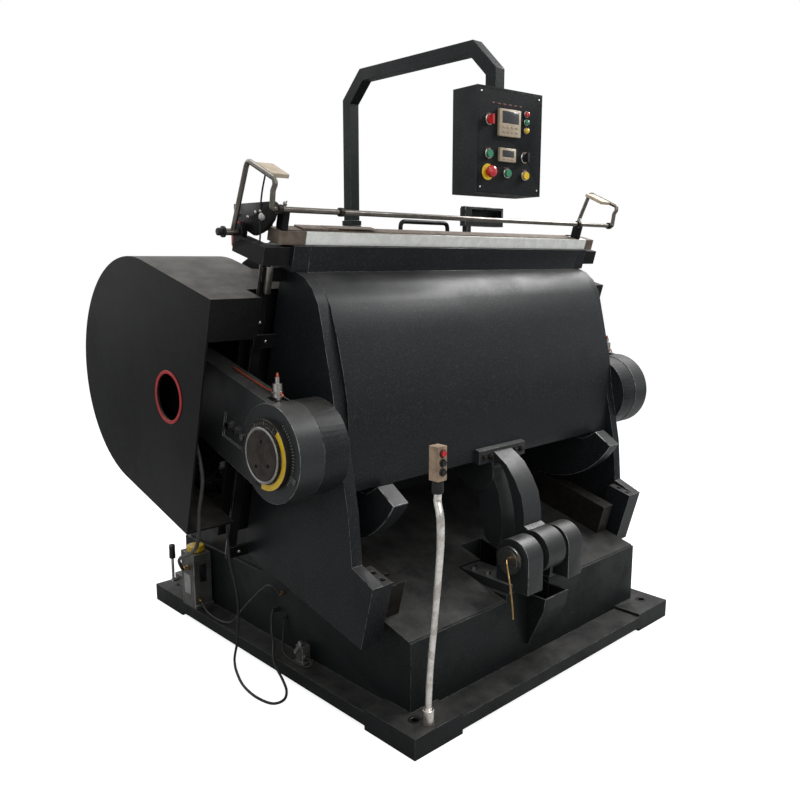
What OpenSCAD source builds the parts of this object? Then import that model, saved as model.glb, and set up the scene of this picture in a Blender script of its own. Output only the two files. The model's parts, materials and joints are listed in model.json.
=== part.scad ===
// Platen die cutting and creasing press: rocking platen, side links, gear drive, control arm.
// Millimetres. X runs across the press, +Y from the operator's side to the back, +Z up.
// Origin: centre of the four anchor holes, on the floor.
// The press itself leans: press() turns its own (x, v, w) frame into the machine's frame,
// where v runs from the front to the back and w runs up along the bed's face.

/* [Base] */
// Width of the base flange
base_w = 1600; // [1500:10:1750]
// Depth of the base flange, front to back
base_d = 1766; // [1700:2:1900]
// Thickness of the base flange
flange_t = 50; // [40:1:60]
// Height of the floor pads under the flange
pad_h = 15; // [8:1:25]
// Half width of the plinth
plinth_hw = 700; // [640:5:712]
// Height of the plinth's top above the floor
plinth_top = 327; // [300:1:350]
// Distance from the base's front edge to the plinth's front face
plinth_in = 123; // [90:1:160]
// Radius of an anchor hole
anchor_r = 14; // [8:0.5:20]
// Spacing of the anchor holes across the press
anchor_x = 1440; // [1380:5:1500]
// Spacing of the anchor holes front to back
anchor_y = 1600; // [1560:5:1640]
// Height of a rail above the sloping deck
rail_h = 134; // [125:1:140]

/* [Press] */
// Lean of the press from upright, in degrees
lean = 15; // [12:0.5:18]
// Height of the sloping deck in the press frame
deck_w = 514; // [500:1:525]
// Gap between the platen's face and the bed's face when closed
die_gap = 40; // [36:1:60]
// Half width of the bed casting
bed_hw = 690; // [640:5:690]
// Height of the bed's top in the press frame
bed_top_w = 1688; // [1600:2:1700]
// Thickness of the bed's face plate
bed_t = 100; // [80:1:120]

/* [Platen] */
// Half width of the platen's domed back
dome_hw = 846; // [800:2:850]
// Outer half width over the side cheeks
cheek_hw = 824; // [815:1:832]
// Thickness of a side cheek
cheek_t = 46; // [36:1:50]
// Radius of the rolling rockers
rocker_r = 375; // [365:1:385]
// Width of a rocker and of the rail under it
rocker_b = 70; // [50:1:80]
// Radius of the trunnion pins
trunnion_r = 60; // [50:1:66]
// Radius of the bosses on the links and the platen
boss_r = 166; // [150:1:172]
// Opening angle of the platen, in degrees
open_deg = 45; // [30:1:45]

/* [Links and gears] */
// Width of a side link
link_b = 97; // [80:1:100]
// Throw of the crank, from the gear's centre to the pin's centre
crank_throw = 212; // [150:1:215]
// Radius of the crank pin
crank_pin_r = 60; // [45:1:70]
// Teeth of a bull gear
bull_teeth = 76; // [70:1:78]
// Teeth of a bull pinion
pinion_teeth = 14; // [13:1:16]
// Module of the bull gears
bull_module = 10; // [9.5:0.5:10]
// Face width of a bull gear
bull_b = 76; // [60:1:78]
// Teeth of the intermediate gear
mid_teeth = 24; // [22:1:25]
// Teeth of the clutch pinion
clutch_teeth = 14; // [13:1:16]
// Module of the intermediate gears
mid_module = 8; // [7:0.5:8]
// Radius of the countershaft and the clutch shaft
shaft_r = 35; // [28:1:38]
// Radius of the flywheel
flywheel_r = 110; // [96:1:112]
// Radius of the round part of a gear cover
cover_r = 436; // [425:1:450]
// Wall of a gear cover
cover_t = 8; // [5:0.5:12]
// Height of the link's boss bore, its dial bush's outer radius
bush_r = 95; // [85:1:100]

/* [Fits] */
// Radial clearance of a running fit
run_fit = 0.05; // [0.02:0.01:0.09]
// Clearance between faces of separate moving pieces
face_gap = 0.6; // [0.4:0.1:2]

/* [Safety bar] */
// Radius of the safety bar's rods
bar_r = 9; // [6:0.5:11]
// Half length of the front rod
bar_hw = 971; // [950:1:990]

/* [Control arm] */
// Side of the square arm tube
arm_s = 50; // [40:1:56]
// Height of the arm's swivel above the floor
swivel_z = 1755; // [1740:1:1790]
// Height of the arm's beam, centre line
beam_z = 2385; // [2300:5:2450]
// Width of the control box
box_w = 338; // [300:5:360]
// Depth of the control box
box_d = 130; // [110:1:150]
// Height of the control box
box_h = 374; // [370:1:420]

/* [Hidden] */
$fn = 64;
e = 0.01;

// colours
charcoal = [0.16, 0.17, 0.18];
dark = [0.08, 0.085, 0.09];
steel = [0.62, 0.62, 0.60];
galvanised = [0.70, 0.72, 0.72];
brass = [0.72, 0.58, 0.28];
beige = [0.78, 0.72, 0.58];

// the press frame and the ways to write a place in it
cl = cos(lean);
sl = sin(lean);
function py(v, w) = v * cl - w * sl;
function pz(v, w) = v * sl + w * cl;
function w_at(v, z) = (z - v * sl) / cl;
module press() rotate([lean, 0, 0]) children();

// extrudes a (y, z) or (v, w) outline along X, and places rods along X
module along_x(x0, x1) translate([x0, 0, 0]) rotate([90, 0, 90]) linear_extrude(x1 - x0) children();
module rod_x(x0, x1, r, v = 0, w = 0) translate([x0, v, w]) rotate([0, 90, 0]) cylinder(h = x1 - x0, r = r);
module box3(lo, hi) translate(lo) cube(hi - lo);
module both() {
    children();
    mirror([1, 0, 0]) children();
}

// key places in the press frame, as [v, w]
face_v = 178;
bed_v = face_v + die_gap;
trunnion = [-168, 1060];
gear_c = [598, 1060];
rail_w = deck_w + rail_h;
roll_gap = 0.8;
rocker_c = [-79, rail_w + roll_gap + rocker_r];
bridle_pin = [-609, 671];
counter_a = 248;
counter_d = bull_module * (bull_teeth + pinion_teeth) / 2;
rail_in = 622;
rail_out = rail_in + rocker_b;
cheek_in = cheek_hw - cheek_t;
boss_out = 925;
link_in = boss_out + 3;
link_out = link_in + link_b;
gear_in = 835;
gear_out = gear_in + bull_b;
cover_in = 740;
cover_step = 930;
cover_out = 1125;
counter_c = [gear_c[0] + counter_d * cos(counter_a), gear_c[1] + counter_d * sin(counter_a)];
mid_d = mid_module * (mid_teeth + clutch_teeth) / 2;
mid_a = -15;
clutch_c = [counter_c[0] + mid_d * cos(mid_a), counter_c[1] + mid_d * sin(mid_a)];

// the press stroke: the rocker's centre keeps its height while the platen turns open_deg
rock = rocker_c - trunnion;
drop = rock[0] * sin(open_deg) + rock[1] * (cos(open_deg) - 1);
stroke = 2 * crank_throw;
back = sqrt(stroke * stroke - drop * drop);
crank_pin = [gear_c[0] + back / 2, gear_c[1] + drop / 2];

// involute-flanked gear outline, teeth given by their centre angle
function deg_inv(a) = tan(a) * 180 / PI - a;
function flank(z, m, r) = 90 / z + deg_inv(20) - deg_inv(acos(min(1, z * m * cos(20) / 2 / r)));
module gear_outline(z, m, phase) {
    slack = 0.5 * 180 / PI / (z * m);
    rp = z * m / 2;
    rr = rp - 1.25 * m;
    rb = max(rr + 0.2 * m, rp * cos(20) + 0.05);
    rt = rp + m * 0.95;
    polygon([for (k = [0:z - 1]) for (q = [[rr, -1, rb], [rb, -1, rb], [rp, -1, rp], [rt, -1, rt],
            [rt, 1, rt], [rp, 1, rp], [rb, 1, rb], [rr, 1, rb]])
        let (a = phase + k * 360 / z + q[1] * (flank(z, m, q[2]) - slack))
        q[0] * [cos(a), sin(a)]]);
}
module spur(x0, x1, z, m, phase, c) along_x(x0, x1) translate(c) gear_outline(z, m, phase);

// a hexagon-headed screw standing on a face, head up along +Z of its own frame
module screw(r, h) cylinder(h = h, r = r, $fn = 6);

// ---------- base ----------
front_y = -base_d / 2;
plinth_front = front_y + plinth_in;
plinth_back = base_d / 2 - plinth_in;
slot_hw = 66;
slot_back = -400;
deck_front_v = -640;
module deck_outline() polygon([
    [py(deck_front_v, w_at(deck_front_v, plinth_top)), plinth_top],
    [py(deck_front_v, deck_w), pz(deck_front_v, deck_w)],
    [py(bed_v - 10, deck_w), pz(bed_v - 10, deck_w)],
    [py(bed_v - 10, w_at(bed_v - 10, plinth_top)), plinth_top],
    [py(bed_v - 10, w_at(bed_v - 10, plinth_top)), plinth_top - 40],
    [py(deck_front_v, w_at(deck_front_v, plinth_top)), plinth_top - 40]]);
flange_top = pad_h + flange_t;
module base_frame() color(charcoal) difference() {
    union() {
        box3([-base_w / 2, front_y, pad_h], [base_w / 2, -front_y, flange_top]);
        for (sx = [-1, 1]) for (sy = [-1, 1])
            translate([sx * (base_w / 2 - 115), sy * (base_d / 2 - 125), 0]) {
            translate([-115, -125, 0]) cube([230, 250, pad_h + e]);
            translate([-115, -125, flange_top - e]) cube([230, 250, 12]);
        }
        box3([-plinth_hw, plinth_front, pad_h], [plinth_hw, plinth_back, plinth_top]);
        along_x(-plinth_hw, plinth_hw) deck_outline();
        both() box3([67, plinth_front, plinth_top - 1], [197, plinth_front + 250, seat_z]);
    }
    box3([-plinth_hw + 60, plinth_front + 60, -1], [-slot_hw - 30, plinth_back - 60, plinth_top - 60]);
    box3([slot_hw + 30, plinth_front + 60, -1], [plinth_hw - 60, plinth_back - 60, plinth_top - 60]);
    box3([-slot_hw, front_y - 1, 120], [slot_hw, slot_back, 900]);
    both() box3([slot_hw - 1, front_y, seat_z], [197, plinth_front + 250, 700]);
    for (sx = [-1, 1]) for (sy = [-1, 1]) translate([sx * anchor_x / 2, sy * anchor_y / 2, -1])
        cylinder(h = 200, r = anchor_r);
}
rail_back = 54;
module rocker_rails() color(steel) press() both() difference() {
    box3([rail_in, -500, deck_w], [rail_out, rail_back, rail_w]);
    for (v = [-440, -280, -120, 20]) translate([rail_in + rocker_b / 2, v, rail_w - 14])
        cylinder(h = 20, r = 11);
}
// thin tray in front of the plinth that the bridle's nose dips into
tray_out = 90;
tray_hw = slot_hw + 8;
module drip_pocket() color(charcoal) difference() {
    along_x(-tray_hw, tray_hw) polygon([[plinth_front - face_gap, plinth_top],
        [plinth_front - tray_out, plinth_top],
        [plinth_front - tray_out + 10, plinth_top - 60], [plinth_front - 14, 122],
            [plinth_front - face_gap, 118]]);
    along_x(-slot_hw, slot_hw) polygon([[plinth_front + 1, plinth_top + 1],
        [plinth_front - tray_out + 8, plinth_top + 1],
        [plinth_front - tray_out + 18, plinth_top - 58], [plinth_front - 8, 134], [plinth_front + 1, 130]]);
}

// ---------- bridle bearings ----------
pin_y = py(bridle_pin[0], bridle_pin[1]);
pin_z = pz(bridle_pin[0], bridle_pin[1]);
seat_z = 352;
stud_r = 40;
pillow_in = 72;
pillow_out = 182;
module pillow_blocks() color(charcoal) both() difference() {
    union() {
        box3([pillow_in, pin_y - 2, seat_z], [pillow_out, plinth_front + 246, seat_z + 38]);
        box3([pillow_in + 10, pin_y - 2, seat_z + 37], [pillow_out - 10, pin_y + 76, pin_z]);
        translate([pillow_in + 10, pin_y, pin_z]) rotate([0, 90, 0])
            cylinder(h = pillow_out - pillow_in - 20, r = 78);
        box3([pillow_in + 10, pin_y - 78, seat_z + 1], [pillow_out - 10, pin_y + 1, pin_z]);
    }
    rod_x(pillow_in - 1, pillow_out + 1, stud_r + run_fit, pin_y, pin_z);
    box3([pillow_in - 1, pin_y - 79, seat_z - 1], [pillow_out + 1, plinth_front - 1, seat_z + 14]);
}
module bridle_studs() color(steel) both() {
    rod_x(pillow_in - 4, pillow_out + 14, stud_r, pin_y, pin_z);
    rod_x(pillow_out + 1, pillow_out + 12, stud_r + 14, pin_y, pin_z);
    for (dy = [130, 200]) translate([(pillow_in + pillow_out) / 2 + 30, pin_y + dy, seat_z + 38])
        screw(13, 14);
}
// sweeps a round section along a list of points
function unit(v) = v / norm(v);
function tangent(p, i) = unit(i == 0 ? p[1] - p[0] : i == len(p) - 1 ? p[i] - p[i - 1] : p[i + 1] - p[i - 1]);
function side(t) = unit(cross(t, abs(t[2]) > 0.9 ? [1, 0, 0] : [0, 0, 1]));
function carry(s, t) = unit(s - t * (s * t));
function frames(p, i, s) = i == len(p) ? [] : let (t = tangent(p, i), n = carry(s, t))
    concat([[t, n]], frames(p, i + 1, n));
function ring(c, f, r, n) = let (b = cross(f[0], f[1]))
    [for (k = [0:n - 1]) c + r * (cos(k * 360 / n) * f[1] + sin(k * 360 / n) * b)];
// Catmull-Rom points between the chosen ones
function spline_at(p, i, t) = let (a = p[max(0, i - 1)], b = p[i], c = p[i + 1],
    d = p[min(len(p) - 1, i + 2)])
    0.5 * ((2 * b) + (c - a) * t + (2 * a - 5 * b + 4 * c - d) * t * t + (3 * b - a - 3 * c + d) * t * t * t);
function smooth(p, n) = [for (i = [0:len(p) - 2]) for (k = [0:n - 1]) spline_at(p, i, k / n), p[len(p) - 1]];
module tube(p, r, n = 8) {
    f = frames(p, 0, side(tangent(p, 0)));
    m = len(p);
    pts = [for (i = [0:m - 1]) each ring(p[i], f[i], r, n)];
    polyhedron(pts, concat([[for (k = [0:n - 1]) k]], [for (i = [0:m - 2]) for (k = [0:n - 1])
        [i * n + k, (i + 1) * n + k, (i + 1) * n + (k + 1) % n, i * n + (k + 1) % n]],
        [[for (k = [n - 1:-1:0]) (m - 1) * n + k]]), 4);
}
oil_pipe_path = [[-197, -762, 500], [-222, -775, 500], [-242, -800, 470], [-250, -822, 400],
    [-252, -832, 345], [-252, -836, 300]];
module bridle_oil_pipe() color(brass) tube(smooth(oil_pipe_path, 3), 3.5, 8);

// ---------- bed ----------
bed_rib_t = 40;
rib_v = bed_v + 1;
rib_top = bed_top_w - 2;
rib_foot = plinth_top + 0.005;
module bed_rib() polygon([
    [rib_v, w_at(rib_v, rib_foot)],
    [rib_v, rib_top],
    [bed_v + bed_t + 30, rib_top],
    [620, 1480],
    [800, 1060],
    [790, w_at(790, rib_foot)]]);
module bed_frame() color(charcoal) difference() {
    union() {
        press() box3([-bed_hw, bed_v, w_at(bed_v, plinth_top) + 30], [bed_hw, bed_v + bed_t, bed_top_w]);
        press() for (x = [1 - bed_hw, -350, 310, bed_hw - bed_rib_t - 1]) along_x(x, x + bed_rib_t) bed_rib();
        press() both() rod_x(bed_hw - 20, bed_hw + 60, 150, gear_c[0], gear_c[1]);
        box3([-330, mast_y - 60, mast_foot - 46], [330, mast_y + 60, mast_foot - 4]);
        box3([mast_x - 90, mast_y - 90, mast_foot - 50], [mast_x + 90, mast_y + 90, mast_foot]);
    }
    press() rod_x(-bed_hw - 2, bed_hw + 2, shaft_r + run_fit, counter_c[0], counter_c[1]);
    press() rod_x(-352, 352, shaft_r + run_fit, clutch_c[0], clutch_c[1]);
    press() both() rod_x(bed_hw - 61, bed_hw + 61, stub_r, gear_c[0], gear_c[1]);
}
stub_r = 70;
module gear_stubs() color(steel) press() both() {
    rod_x(bed_hw - 60, gear_out - 2, stub_r, gear_c[0], gear_c[1]);
}
module die_chase() color(steel) press() difference() {
    box3([-bed_hw + 20, bed_v - 20, 640], [bed_hw - 20, bed_v, 1640]);
    box3([-bed_hw + 70, bed_v - 21, 690], [bed_hw - 70, bed_v + 1, 1590]);
}

// ---------- gear covers ----------
cover_front = 117;
cover_mid = 215;
cover_top = gear_c[1] + cover_r;
cover_bottom = gear_c[1] - cover_r;
module cover_shape(v0, r) intersection() {
    union() {
        translate([gear_c[0] - 2 * r, gear_c[1] - r]) square([2 * r, 2 * r]);
        translate(gear_c) circle(r, $fn = 128);
    }
    translate([v0, gear_c[1] - r - 1]) square([gear_c[0] + r + 1 - v0, 2 * r + 2]);
}
hole_c = [327, 1073];
hole_r = 84;
inner_drop = 110;
gear_room = bull_module * (bull_teeth / 2 + 1) + 5;
module gear_cover(s) color(charcoal) press() scale_x(s) difference() {
    union() {
        along_x(cover_step, cover_out) cover_shape(cover_front, cover_r);
        along_x(cover_in, cover_step + e) {
            cover_shape(cover_mid, cover_r);
            translate(gear_c) circle(gear_room + cover_t, $fn = 128);
            polygon([[cover_mid, cover_bottom + 1], [cover_mid, cover_bottom - inner_drop],
                [620, cover_bottom - inner_drop], [660, cover_bottom + 40]]);
        }
        for (w = [cover_bottom - inner_drop, cover_top - cover_t])
            box3([bed_hw - 1 + 0.3, 380, w], [cover_in + 4, 470, w + cover_t]);
    }
    along_x(cover_step - e, cover_out - cover_t) cover_shape(cover_front + cover_t, cover_r - cover_t);
    along_x(cover_in - 1, cover_step) {
        cover_shape(cover_mid + cover_t, cover_r - cover_t);
        translate(gear_c) circle(gear_room, $fn = 128);
        polygon([[cover_mid + cover_t, cover_bottom + 20],
            [cover_mid + cover_t, cover_bottom - inner_drop + cover_t],
            [614, cover_bottom - inner_drop + cover_t], [652, cover_bottom + 60]]);
    }
    box3([cover_step, cover_front - 1, cover_bottom + cover_t],
        [cover_out - cover_t, cover_front + cover_t + 1, 1350]);
    rod_x(cover_out - cover_t - 1, cover_out + 1, hole_r, hole_c[0], hole_c[1]);
    box3([cover_step - 1, cover_mid - 1, cover_bottom + cover_t],
        [cover_step + 1, cover_mid + cover_t + 2, 1350]);
}
module scale_x(s) {
    if (s > 0) children();
    else mirror([1, 0, 0]) children();
}
module gear_cover_left() gear_cover(-1);
module gear_cover_right() gear_cover(1);
module view_rings() color([0.75, 0.1, 0.1]) press() both() difference() {
    rod_x(cover_out, cover_out + 3, hole_r + 12, hole_c[0], hole_c[1]);
    rod_x(cover_out - 1, cover_out + 4, hole_r, hole_c[0], hole_c[1]);
}

// ---------- platen ----------
dome = [[84, 1591], [40, 1586], [-10, 1562], [-58, 1520], [-120, 1425], [-180, 1320], [-222, 1235],
    [-244, 1170],
    [-274, 1070], [-300, 975], [-310, 935]];
dome_in = [[118, 1560], [60, 1546], [24, 1530], [-20, 1490], [-80, 1400], [-140, 1300], [-182, 1210],
    [-204, 1150],
    [-234, 1060], [-262, 970], [-252, 945]];
shell_bottom = 600;
module shell_outline() polygon(concat([[face_v - 12, shell_bottom], [face_v - 12, 1681], [84, 1681]], dome,
    [[-272, 935], [-272, 905], [90, 860], [90, shell_bottom]]));
module platen_shell() color(charcoal) press() {
    along_x(-cheek_in, cheek_in) difference() {
        shell_outline();
        polygon(concat([[106, 880], [106, 1560]], [for (i = [1:len(dome_in) - 1]) dome_in[i]]));
    }
    both() box3([cheek_in - 1, 85, 1592], [dome_hw, face_v - 13, 1681]);
}
cheek = [[175, 440], [175, 1591], [84, 1591], [40, 1586], [-10, 1562], [-54, 1520], [-120, 1400],
    [-198, 1255], [-263, 1102],
    [-302, 1027], [-369, 892], [-432, 722], [-545, 706], [-545, 466]];
module platen_cheeks() color(charcoal) press() both() {
    along_x(cheek_in, cheek_hw) polygon(cheek);
    difference() {
        rod_x(cheek_hw - 1, boss_out, boss_r - 2, trunnion[0], trunnion[1]);
        rod_x(cheek_hw - 2, boss_out + 1, trunnion_r, trunnion[0], trunnion[1]);
    }
    difference() {
        box3([735, -545, 466], [cheek_in + e, -432, 706]);
        for (v = [-515, -470]) translate([757, v, 690]) cylinder(h = 30, r = 11);
    }
}
module platen_rockers() color(charcoal) press() both() {
    along_x(rail_in, rail_out) intersection() {
        difference() {
            translate(rocker_c) circle(rocker_r, $fn = 180);
            translate([rocker_c[0] + 60, rocker_c[1] + 120]) circle(rocker_r - 60, $fn = 120);
        }
        polygon([[-445, 600], [90, 600], [90, 858], [-120, 885], [-300, 905], [-350, 960], [-445, 930]]);
    }
}
module trunnion_pins() color(steel) press() both() {
    rod_x(cheek_hw, link_out + 12, trunnion_r, trunnion[0], trunnion[1]);
}
strip_hw = 904;
module top_strip() color(galvanised) press() box3([-strip_hw + 110, 98, 1681],
    [strip_hw - 60, face_v - 12, 1727]);
module strip_ends() color([0.42, 0.38, 0.34]) press() {
    box3([-strip_hw, 98, 1681], [-strip_hw + 110, face_v - 12, 1727]);
    box3([strip_hw - 60, 98, 1681], [strip_hw, face_v - 12, 1727]);
}
module cutting_plate() color(steel) press() box3([-bed_hw + 10, face_v - 12, 640],
    [bed_hw - 10, face_v, 1640]);

// ---------- bridle: the curved arm under the platen ----------
bridle_hw = 54;
head_r = 84;
bridle_outer = [[-262, 975], [-330, 968], [-400, 945], [-455, 905], [-500, 860], [-532, 800], [-548, 750]];
bridle_inner = [[-524, 640], [-480, 600], [-430, 590], [-380, 610], [-340, 680], [-290, 780], [-240, 860],
    [-200, 905]];
slot_line = [[-362, 902], [-392, 872], [-424, 828], [-452, 780], [-472, 730], [-484, 680], [-489, 640]];
slot_hr = 32;
function off2(p, i, d) = let (t = tangent([for (q = p) [q[0], q[1], 0]], i))
    [p[i][0] - t[1] * d, p[i][1] + t[0] * d];
module bridle() color(charcoal) press() {
    difference() {
        union() {
            along_x(-bridle_hw, bridle_hw)
                polygon(concat(bridle_outer, [bridle_pin + [-40, 60]], [bridle_pin], bridle_inner));
            rod_x(-bridle_hw, bridle_hw, head_r, bridle_pin[0], bridle_pin[1]);
            rod_x(-bridle_hw - 10, bridle_hw + 10, 92, -262, 868);
            along_x(-142, 142) polygon([[-300, 930], [-334, 930], [-322, 982], [-290, 982]]);
        }
        along_x(-150, 150) translate([-0.4, -0.4]) shell_outline();
        along_x(-bridle_hw - 1, bridle_hw + 1) {
            polygon(concat([for (i = [0:len(slot_line) - 1]) off2(slot_line, i, slot_hr)],
                [for (i = [len(slot_line) - 1:-1:0]) off2(slot_line, i, -slot_hr)]));
            translate(slot_line[0]) circle(slot_hr);
            translate(slot_line[len(slot_line) - 1]) circle(slot_hr);
        }
        rod_x(-bridle_hw - 1, bridle_hw + 1, stud_r + 2, bridle_pin[0], bridle_pin[1]);
    }
}

// ---------- posts and safety bar ----------
post_x = 900;
post_top = 1609;
module side_posts() color(dark) press() both() {
    box3([post_x - 22, 158, 440], [post_x + 18, 166, post_top]);
    rod_z(post_x, 180, 440, post_top, 8);
    for (w = [440, 900, 1300, 1540]) {
        box3([cheek_hw, 150, w], [post_x + 18, 158, w + 50]);
        box3([post_x - 8, 165, w + 10], [post_x + 8, 174, w + 30]);
    }
}
module rod_z(x, v, w0, w1, r) translate([x, v, w0]) cylinder(h = w1 - w0, r = r);
pivot_y = -175;
pivot_z = 1693;
module bar_brackets() color(dark) both() {
    difference() {
        union() {
            press() box3([dome_hw, 100, 1610], [bar_hw - 16, 160, 1672]);
            press() box3([bar_hw - 60, 101, 1611], [bar_hw - 17, 290, 1671]);
            rod_x(bar_hw - 38, bar_hw - 16, 30, pivot_y, pivot_z);
        }
        rod_x(bar_hw - 61, bar_hw - 15, 12 + run_fit, pivot_y, pivot_z);
    }
}
loop = [[-407, 1759], [-415, 1816], [-428, 1832], [-425, 1850], [-290, 1912], [-278, 1912], [-268, 1900],
    [pivot_y, pivot_z + 4]];
module safety_bar() color(steel) {
    tube(concat([for (i = [len(loop) - 1:-1:0]) [-bar_hw, loop[i][0], loop[i][1]]],
        [for (q = loop) [bar_hw, q[0], q[1]]]), bar_r, 10);
    both() rod_x(bar_hw - 38, bar_hw + 34, 12, pivot_y, pivot_z);
}
module bar_sensors() color(beige) both() translate([0, -350, 1884.5]) rotate([24.7, 0, 0])
    box3([bar_hw - 78, -50, -8], [bar_hw - bar_r - 0.3, 50, 6]);

// ---------- side links ----------
module link_arms() color(charcoal) press() both() difference() {
    union() {
        rod_x(link_in, link_out, boss_r, trunnion[0], trunnion[1]);
        rod_x(link_in, link_out, 145, crank_pin[0], crank_pin[1]);
        along_x(link_in + 6, link_out - 6)
            polygon([[trunnion[0], trunnion[1] + 158], [crank_pin[0], crank_pin[1] + 130],
            [crank_pin[0], crank_pin[1] - 130], [trunnion[0], trunnion[1] - 158]]);
        rod_x(link_in - 6, link_out + 20, crank_pin_r, crank_pin[0], crank_pin[1]);
    }
    rod_x(link_in - 1, link_out + 1, bush_r + run_fit, trunnion[0], trunnion[1]);
    box3([link_out - 14, trunnion[0] + 150, trunnion[1] - 62],
        [link_out + 1, trunnion[0] + 292, trunnion[1] + 28]);
    at_oiler() box3([-30, -26, 0], [30, 26, 40]);
}
// flat on top of the boss, level while the press is closed
oiler_v = 28;
spot_z = boss_r - 6;
module at_oiler() translate([link_in + 40, trunnion[0], trunnion[1]]) rotate([-lean, 0, 0])
    translate([0, oiler_v, spot_z]) children();
module link_oilers() color(steel) press() both() {
    at_oiler() {
        cylinder(h = 18, r = 9);
        translate([0, 0, 17]) cylinder(h = 46, r = 17);
        translate([0, 0, 62]) cylinder(h = 22, r = 8);
    }
    for (k = [0:2]) translate([link_out - 14, trunnion[0] + 175 + k * 46, trunnion[1] - 18 + k * 2])
        rotate([0, 90, 0]) screw(13, 12);
}
// dial bush: turns in the link's boss and carries the trunnion
dial_x = link_out + face_gap;
module pressure_dial(s, flange, face) press() scale_x(s) color(steel) difference() {
    union() {
        rod_x(link_in + 2, dial_x + 1, bush_r, trunnion[0], trunnion[1]);
        rod_x(dial_x, dial_x + flange, 118, trunnion[0], trunnion[1]);
        rod_x(dial_x + flange - 1, dial_x + flange + face, 94, trunnion[0], trunnion[1]);
    }
    rod_x(link_in + 1, dial_x + flange + face + 1, trunnion_r + run_fit, trunnion[0], trunnion[1]);
    for (a = [60, 180, 300]) rod_x(dial_x + flange, dial_x + flange + face + 1, 7,
        trunnion[0] + 77 * cos(a), trunnion[1] + 77 * sin(a));
}
module pressure_dial_left() pressure_dial(-1, 20, 12);
module pressure_dial_right() pressure_dial(1, 8, 4);

// ---------- gear drive ----------
bull_phase = counter_a;
module bull_gears() color(dark) press() both() difference() {
    union() {
        spur(gear_in, gear_out, bull_teeth, bull_module, bull_phase, gear_c);
        rod_x(gear_in - 20, gear_out, 120, gear_c[0], gear_c[1]);
        rod_x(gear_in, gear_out + 8, crank_pin_r + 30, crank_pin[0], crank_pin[1]);
    }
    rod_x(gear_in - 21, gear_out - 1, stub_r + run_fit, gear_c[0], gear_c[1]);
    rod_x(gear_out - 30, gear_out + 9, crank_pin_r + 4, crank_pin[0], crank_pin[1]);
}
module countershaft() color(steel) press() {
    rod_x(-gear_out - 2, gear_out + 2, shaft_r, counter_c[0], counter_c[1]);
    both() spur(gear_in - 4, gear_out + 4, pinion_teeth, bull_module,
        counter_a + 180 + 180 / pinion_teeth, counter_c);
    spur(200, 280, mid_teeth, mid_module, mid_a, counter_c);
}
module clutch_shaft() color(steel) press() {
    rod_x(-380, 380, shaft_r, clutch_c[0], clutch_c[1]);
    spur(198, 282, clutch_teeth, mid_module, mid_a + 180 + 180 / clutch_teeth, clutch_c);
    rod_x(-60, -20, flywheel_r, clutch_c[0], clutch_c[1]);
}
fly_x0 = -190;
fly_x1 = -80;
module flywheel() color(charcoal) press() difference() {
    rod_x(fly_x0, fly_x1, flywheel_r, clutch_c[0], clutch_c[1]);
    rod_x(fly_x0 - 1, fly_x0 + 32, flywheel_r - 45, clutch_c[0], clutch_c[1]);
    rod_x(fly_x1 - 32, fly_x1 + 1, flywheel_r - 45, clutch_c[0], clutch_c[1]);
    rod_x(fly_x0 - 1, fly_x1 + 1, shaft_r + run_fit, clutch_c[0], clutch_c[1]);
    for (x = grooves) translate([fly_x0 + 22 + x, clutch_c[0], clutch_c[1]]) rotate([0, 90, 0])
        groove_ring(flywheel_r);
}
// three belt grooves, and the ring that is turned away for one
grooves = [0, 22, 44];
groove_d = 12;
module groove_ring(r) difference() {
    cylinder(h = 16, r = r + 1);
    translate([0, 0, -1]) cylinder(h = 18, r = r - groove_d);
}
motor_y = 640;
motor_z = 470;
motor_r = 105;
motor_x0 = -50;
motor_x1 = 250;
motor_shaft_r = 19;
pulley_r = 40;
belt_x0 = fly_x0 + 22;
module motor() color([0.2, 0.28, 0.3]) difference() {
    union() {
        rod_x(motor_x0, motor_x1, motor_r, motor_y, motor_z);
        rod_x(motor_x1 - 1, motor_x1 + 50, motor_r - 14, motor_y, motor_z);
        box3([motor_x0 + 30, motor_y - 90, plinth_top], [motor_x1 - 30, motor_y + 90, plinth_top + 22]);
        for (x = [motor_x0 + 40, motor_x1 - 66])
            box3([x, motor_y - 80, plinth_top + 20], [x + 26, motor_y + 80, motor_z - 60]);
        box3([motor_x0 + 90, motor_y - 50, motor_z + motor_r - 12],
            [motor_x0 + 190, motor_y + 50, motor_z + motor_r + 40]);
    }
    rod_x(motor_x0 - 1, motor_x0 + 30, motor_shaft_r + run_fit, motor_y, motor_z);
}
module motor_pulley() color(steel) difference() {
    union() {
        rod_x(fly_x0, motor_x0 + 28, motor_shaft_r, motor_y, motor_z);
        rod_x(belt_x0 - 12, belt_x0 + 72, pulley_r, motor_y, motor_z);
    }
    for (x = grooves) translate([belt_x0 + x, motor_y, motor_z]) rotate([0, 90, 0]) groove_ring(pulley_r);
}
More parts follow.
